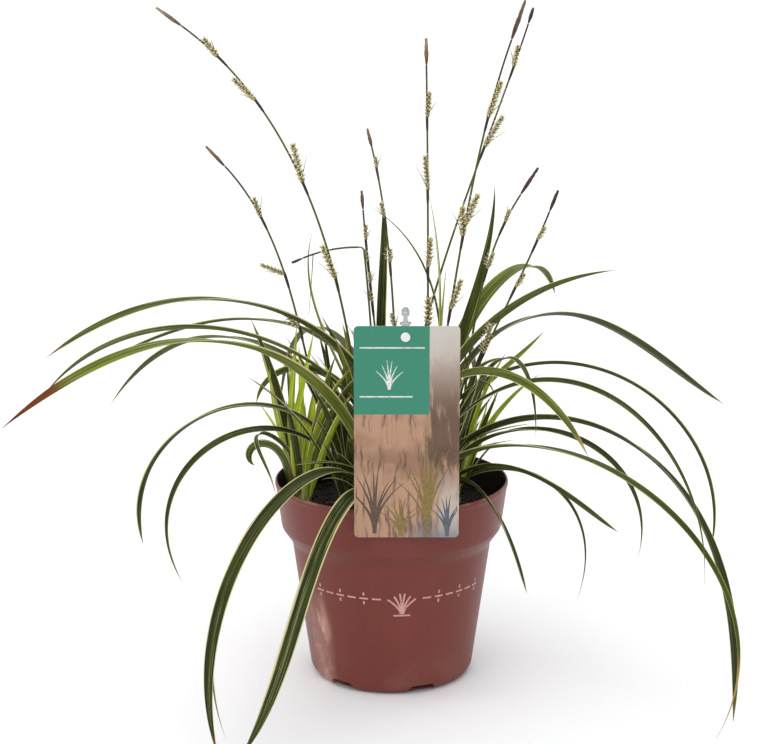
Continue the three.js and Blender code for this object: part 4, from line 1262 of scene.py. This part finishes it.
# %% The stake and the stud
STAKE_WIDTH, STAKE_THICKNESS, STAKE_FOOT_Y, STAKE_DEPTH = 5, 1.6, -65, 45
STAKE_TOP_Y = CARD_BACK_Y + GAP + STAKE_THICKNESS / 2
CARD_TOP_Z = CARD_FOOT_Z + CARD_HEIGHT


def stake_y(z):
    bend = smooth((z - SOIL_Z + 10) / (STUD_Z - 15 - SOIL_Z))
    return STAKE_FOOT_Y + (STAKE_TOP_Y - STAKE_FOOT_Y) * bend


HALF, THIN = STAKE_WIDTH / 2, STAKE_THICKNESS / 2
BAR = [(0.3, HALF), (0.7, 3.8), (1.0, 4.0), (2.1, 4.0), (2.5, 3.7), (2.8, 1.6), (3.6, 1.5), (5.8, 1.5)]
KNOB = [(6.6, 1.8, 1.0), (7.1, 2.6, 1.6), (7.8, 2.8, 1.8), (9.6, 2.8, 1.8),
        (10.8, 2.6, 1.7), (11.8, 2.0, 1.4), (12.4, 1.3, 0.9), (12.7, 0.5, 0.4)]
# Each station is a height with half of the strip's width and half of its thickness there.
stations = [(SOIL_Z - STAKE_DEPTH, 0.4, 0.4), (SOIL_Z - STAKE_DEPTH + 8, HALF, THIN)]
stations += [(z, HALF, THIN) for z in np.linspace(SOIL_Z - 8, CARD_TOP_Z - 1, 40)]
stations += [(CARD_TOP_Z + rise, half, THIN) for rise, half in BAR]
stations += [(CARD_TOP_Z + rise, half, thin) for rise, half, thin in KNOB]
angle = circle(20)
square_cos, square_sin = [np.sign(wave) * np.abs(wave) ** 0.4 for wave in (np.cos(angle), np.sin(angle))]
rings = [np.stack([STAKE_X + half * square_cos, stake_y(z) + thin * square_sin, 0 * angle + z], 1)
         for z, half, thin in stations]
stake_skin = Skin()
stake_skin.strip(np.array(rings))
stake_paint = Paint("clear_polystyrene", IOR=1.5, Transmission_Weight=0.6,
                    Base_Color=(0.55, 0.58, 0.59, 1))
scuff_and_highlight_noise = stake_paint.noise(300.0, 4.0, 0.7)
stake_paint.finish(Roughness=scuff_and_highlight_noise * 0.3 + 0.1, Normal=stake_paint.bump(scuff_and_highlight_noise, 0.08, 0.0003))
stake = stake_skin.piece("label_clear_stake", [stake_paint.material], crease=60)
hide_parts("label_stake")

stud_face = CARD_FRONT_Y - GAP
stud_skin = Skin()
dome = [(STUD_RADIUS * math.sin(turn), stud_face - 0.5 - math.cos(turn))
        for turn in np.linspace(0.04, np.pi / 2, 12)]
stud_skin.strip(facing_front([*dome, (STUD_RADIUS, stud_face - 0.15), (STUD_RADIUS - 0.15, stud_face),
                              (STUD_SHANK, stud_face), (STUD_SHANK, CARD_BACK_Y)], 40))
stud_paint = Paint("white_plastic")
marks = stud_paint.noise(400.0, 3.0, 0.6)
stud_paint.finish(Base_Color=stud_paint.blend((0.72, 0.72, 0.70), (0.82, 0.82, 0.80), marks.rise(0.3, 0.6)),
                  Roughness=marks * 0.3 + 0.2)
stud = stud_skin.piece("label_white_stud", [stud_paint.material], crease=40)
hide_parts("label_stud")
print("stake rings:", len(stations))
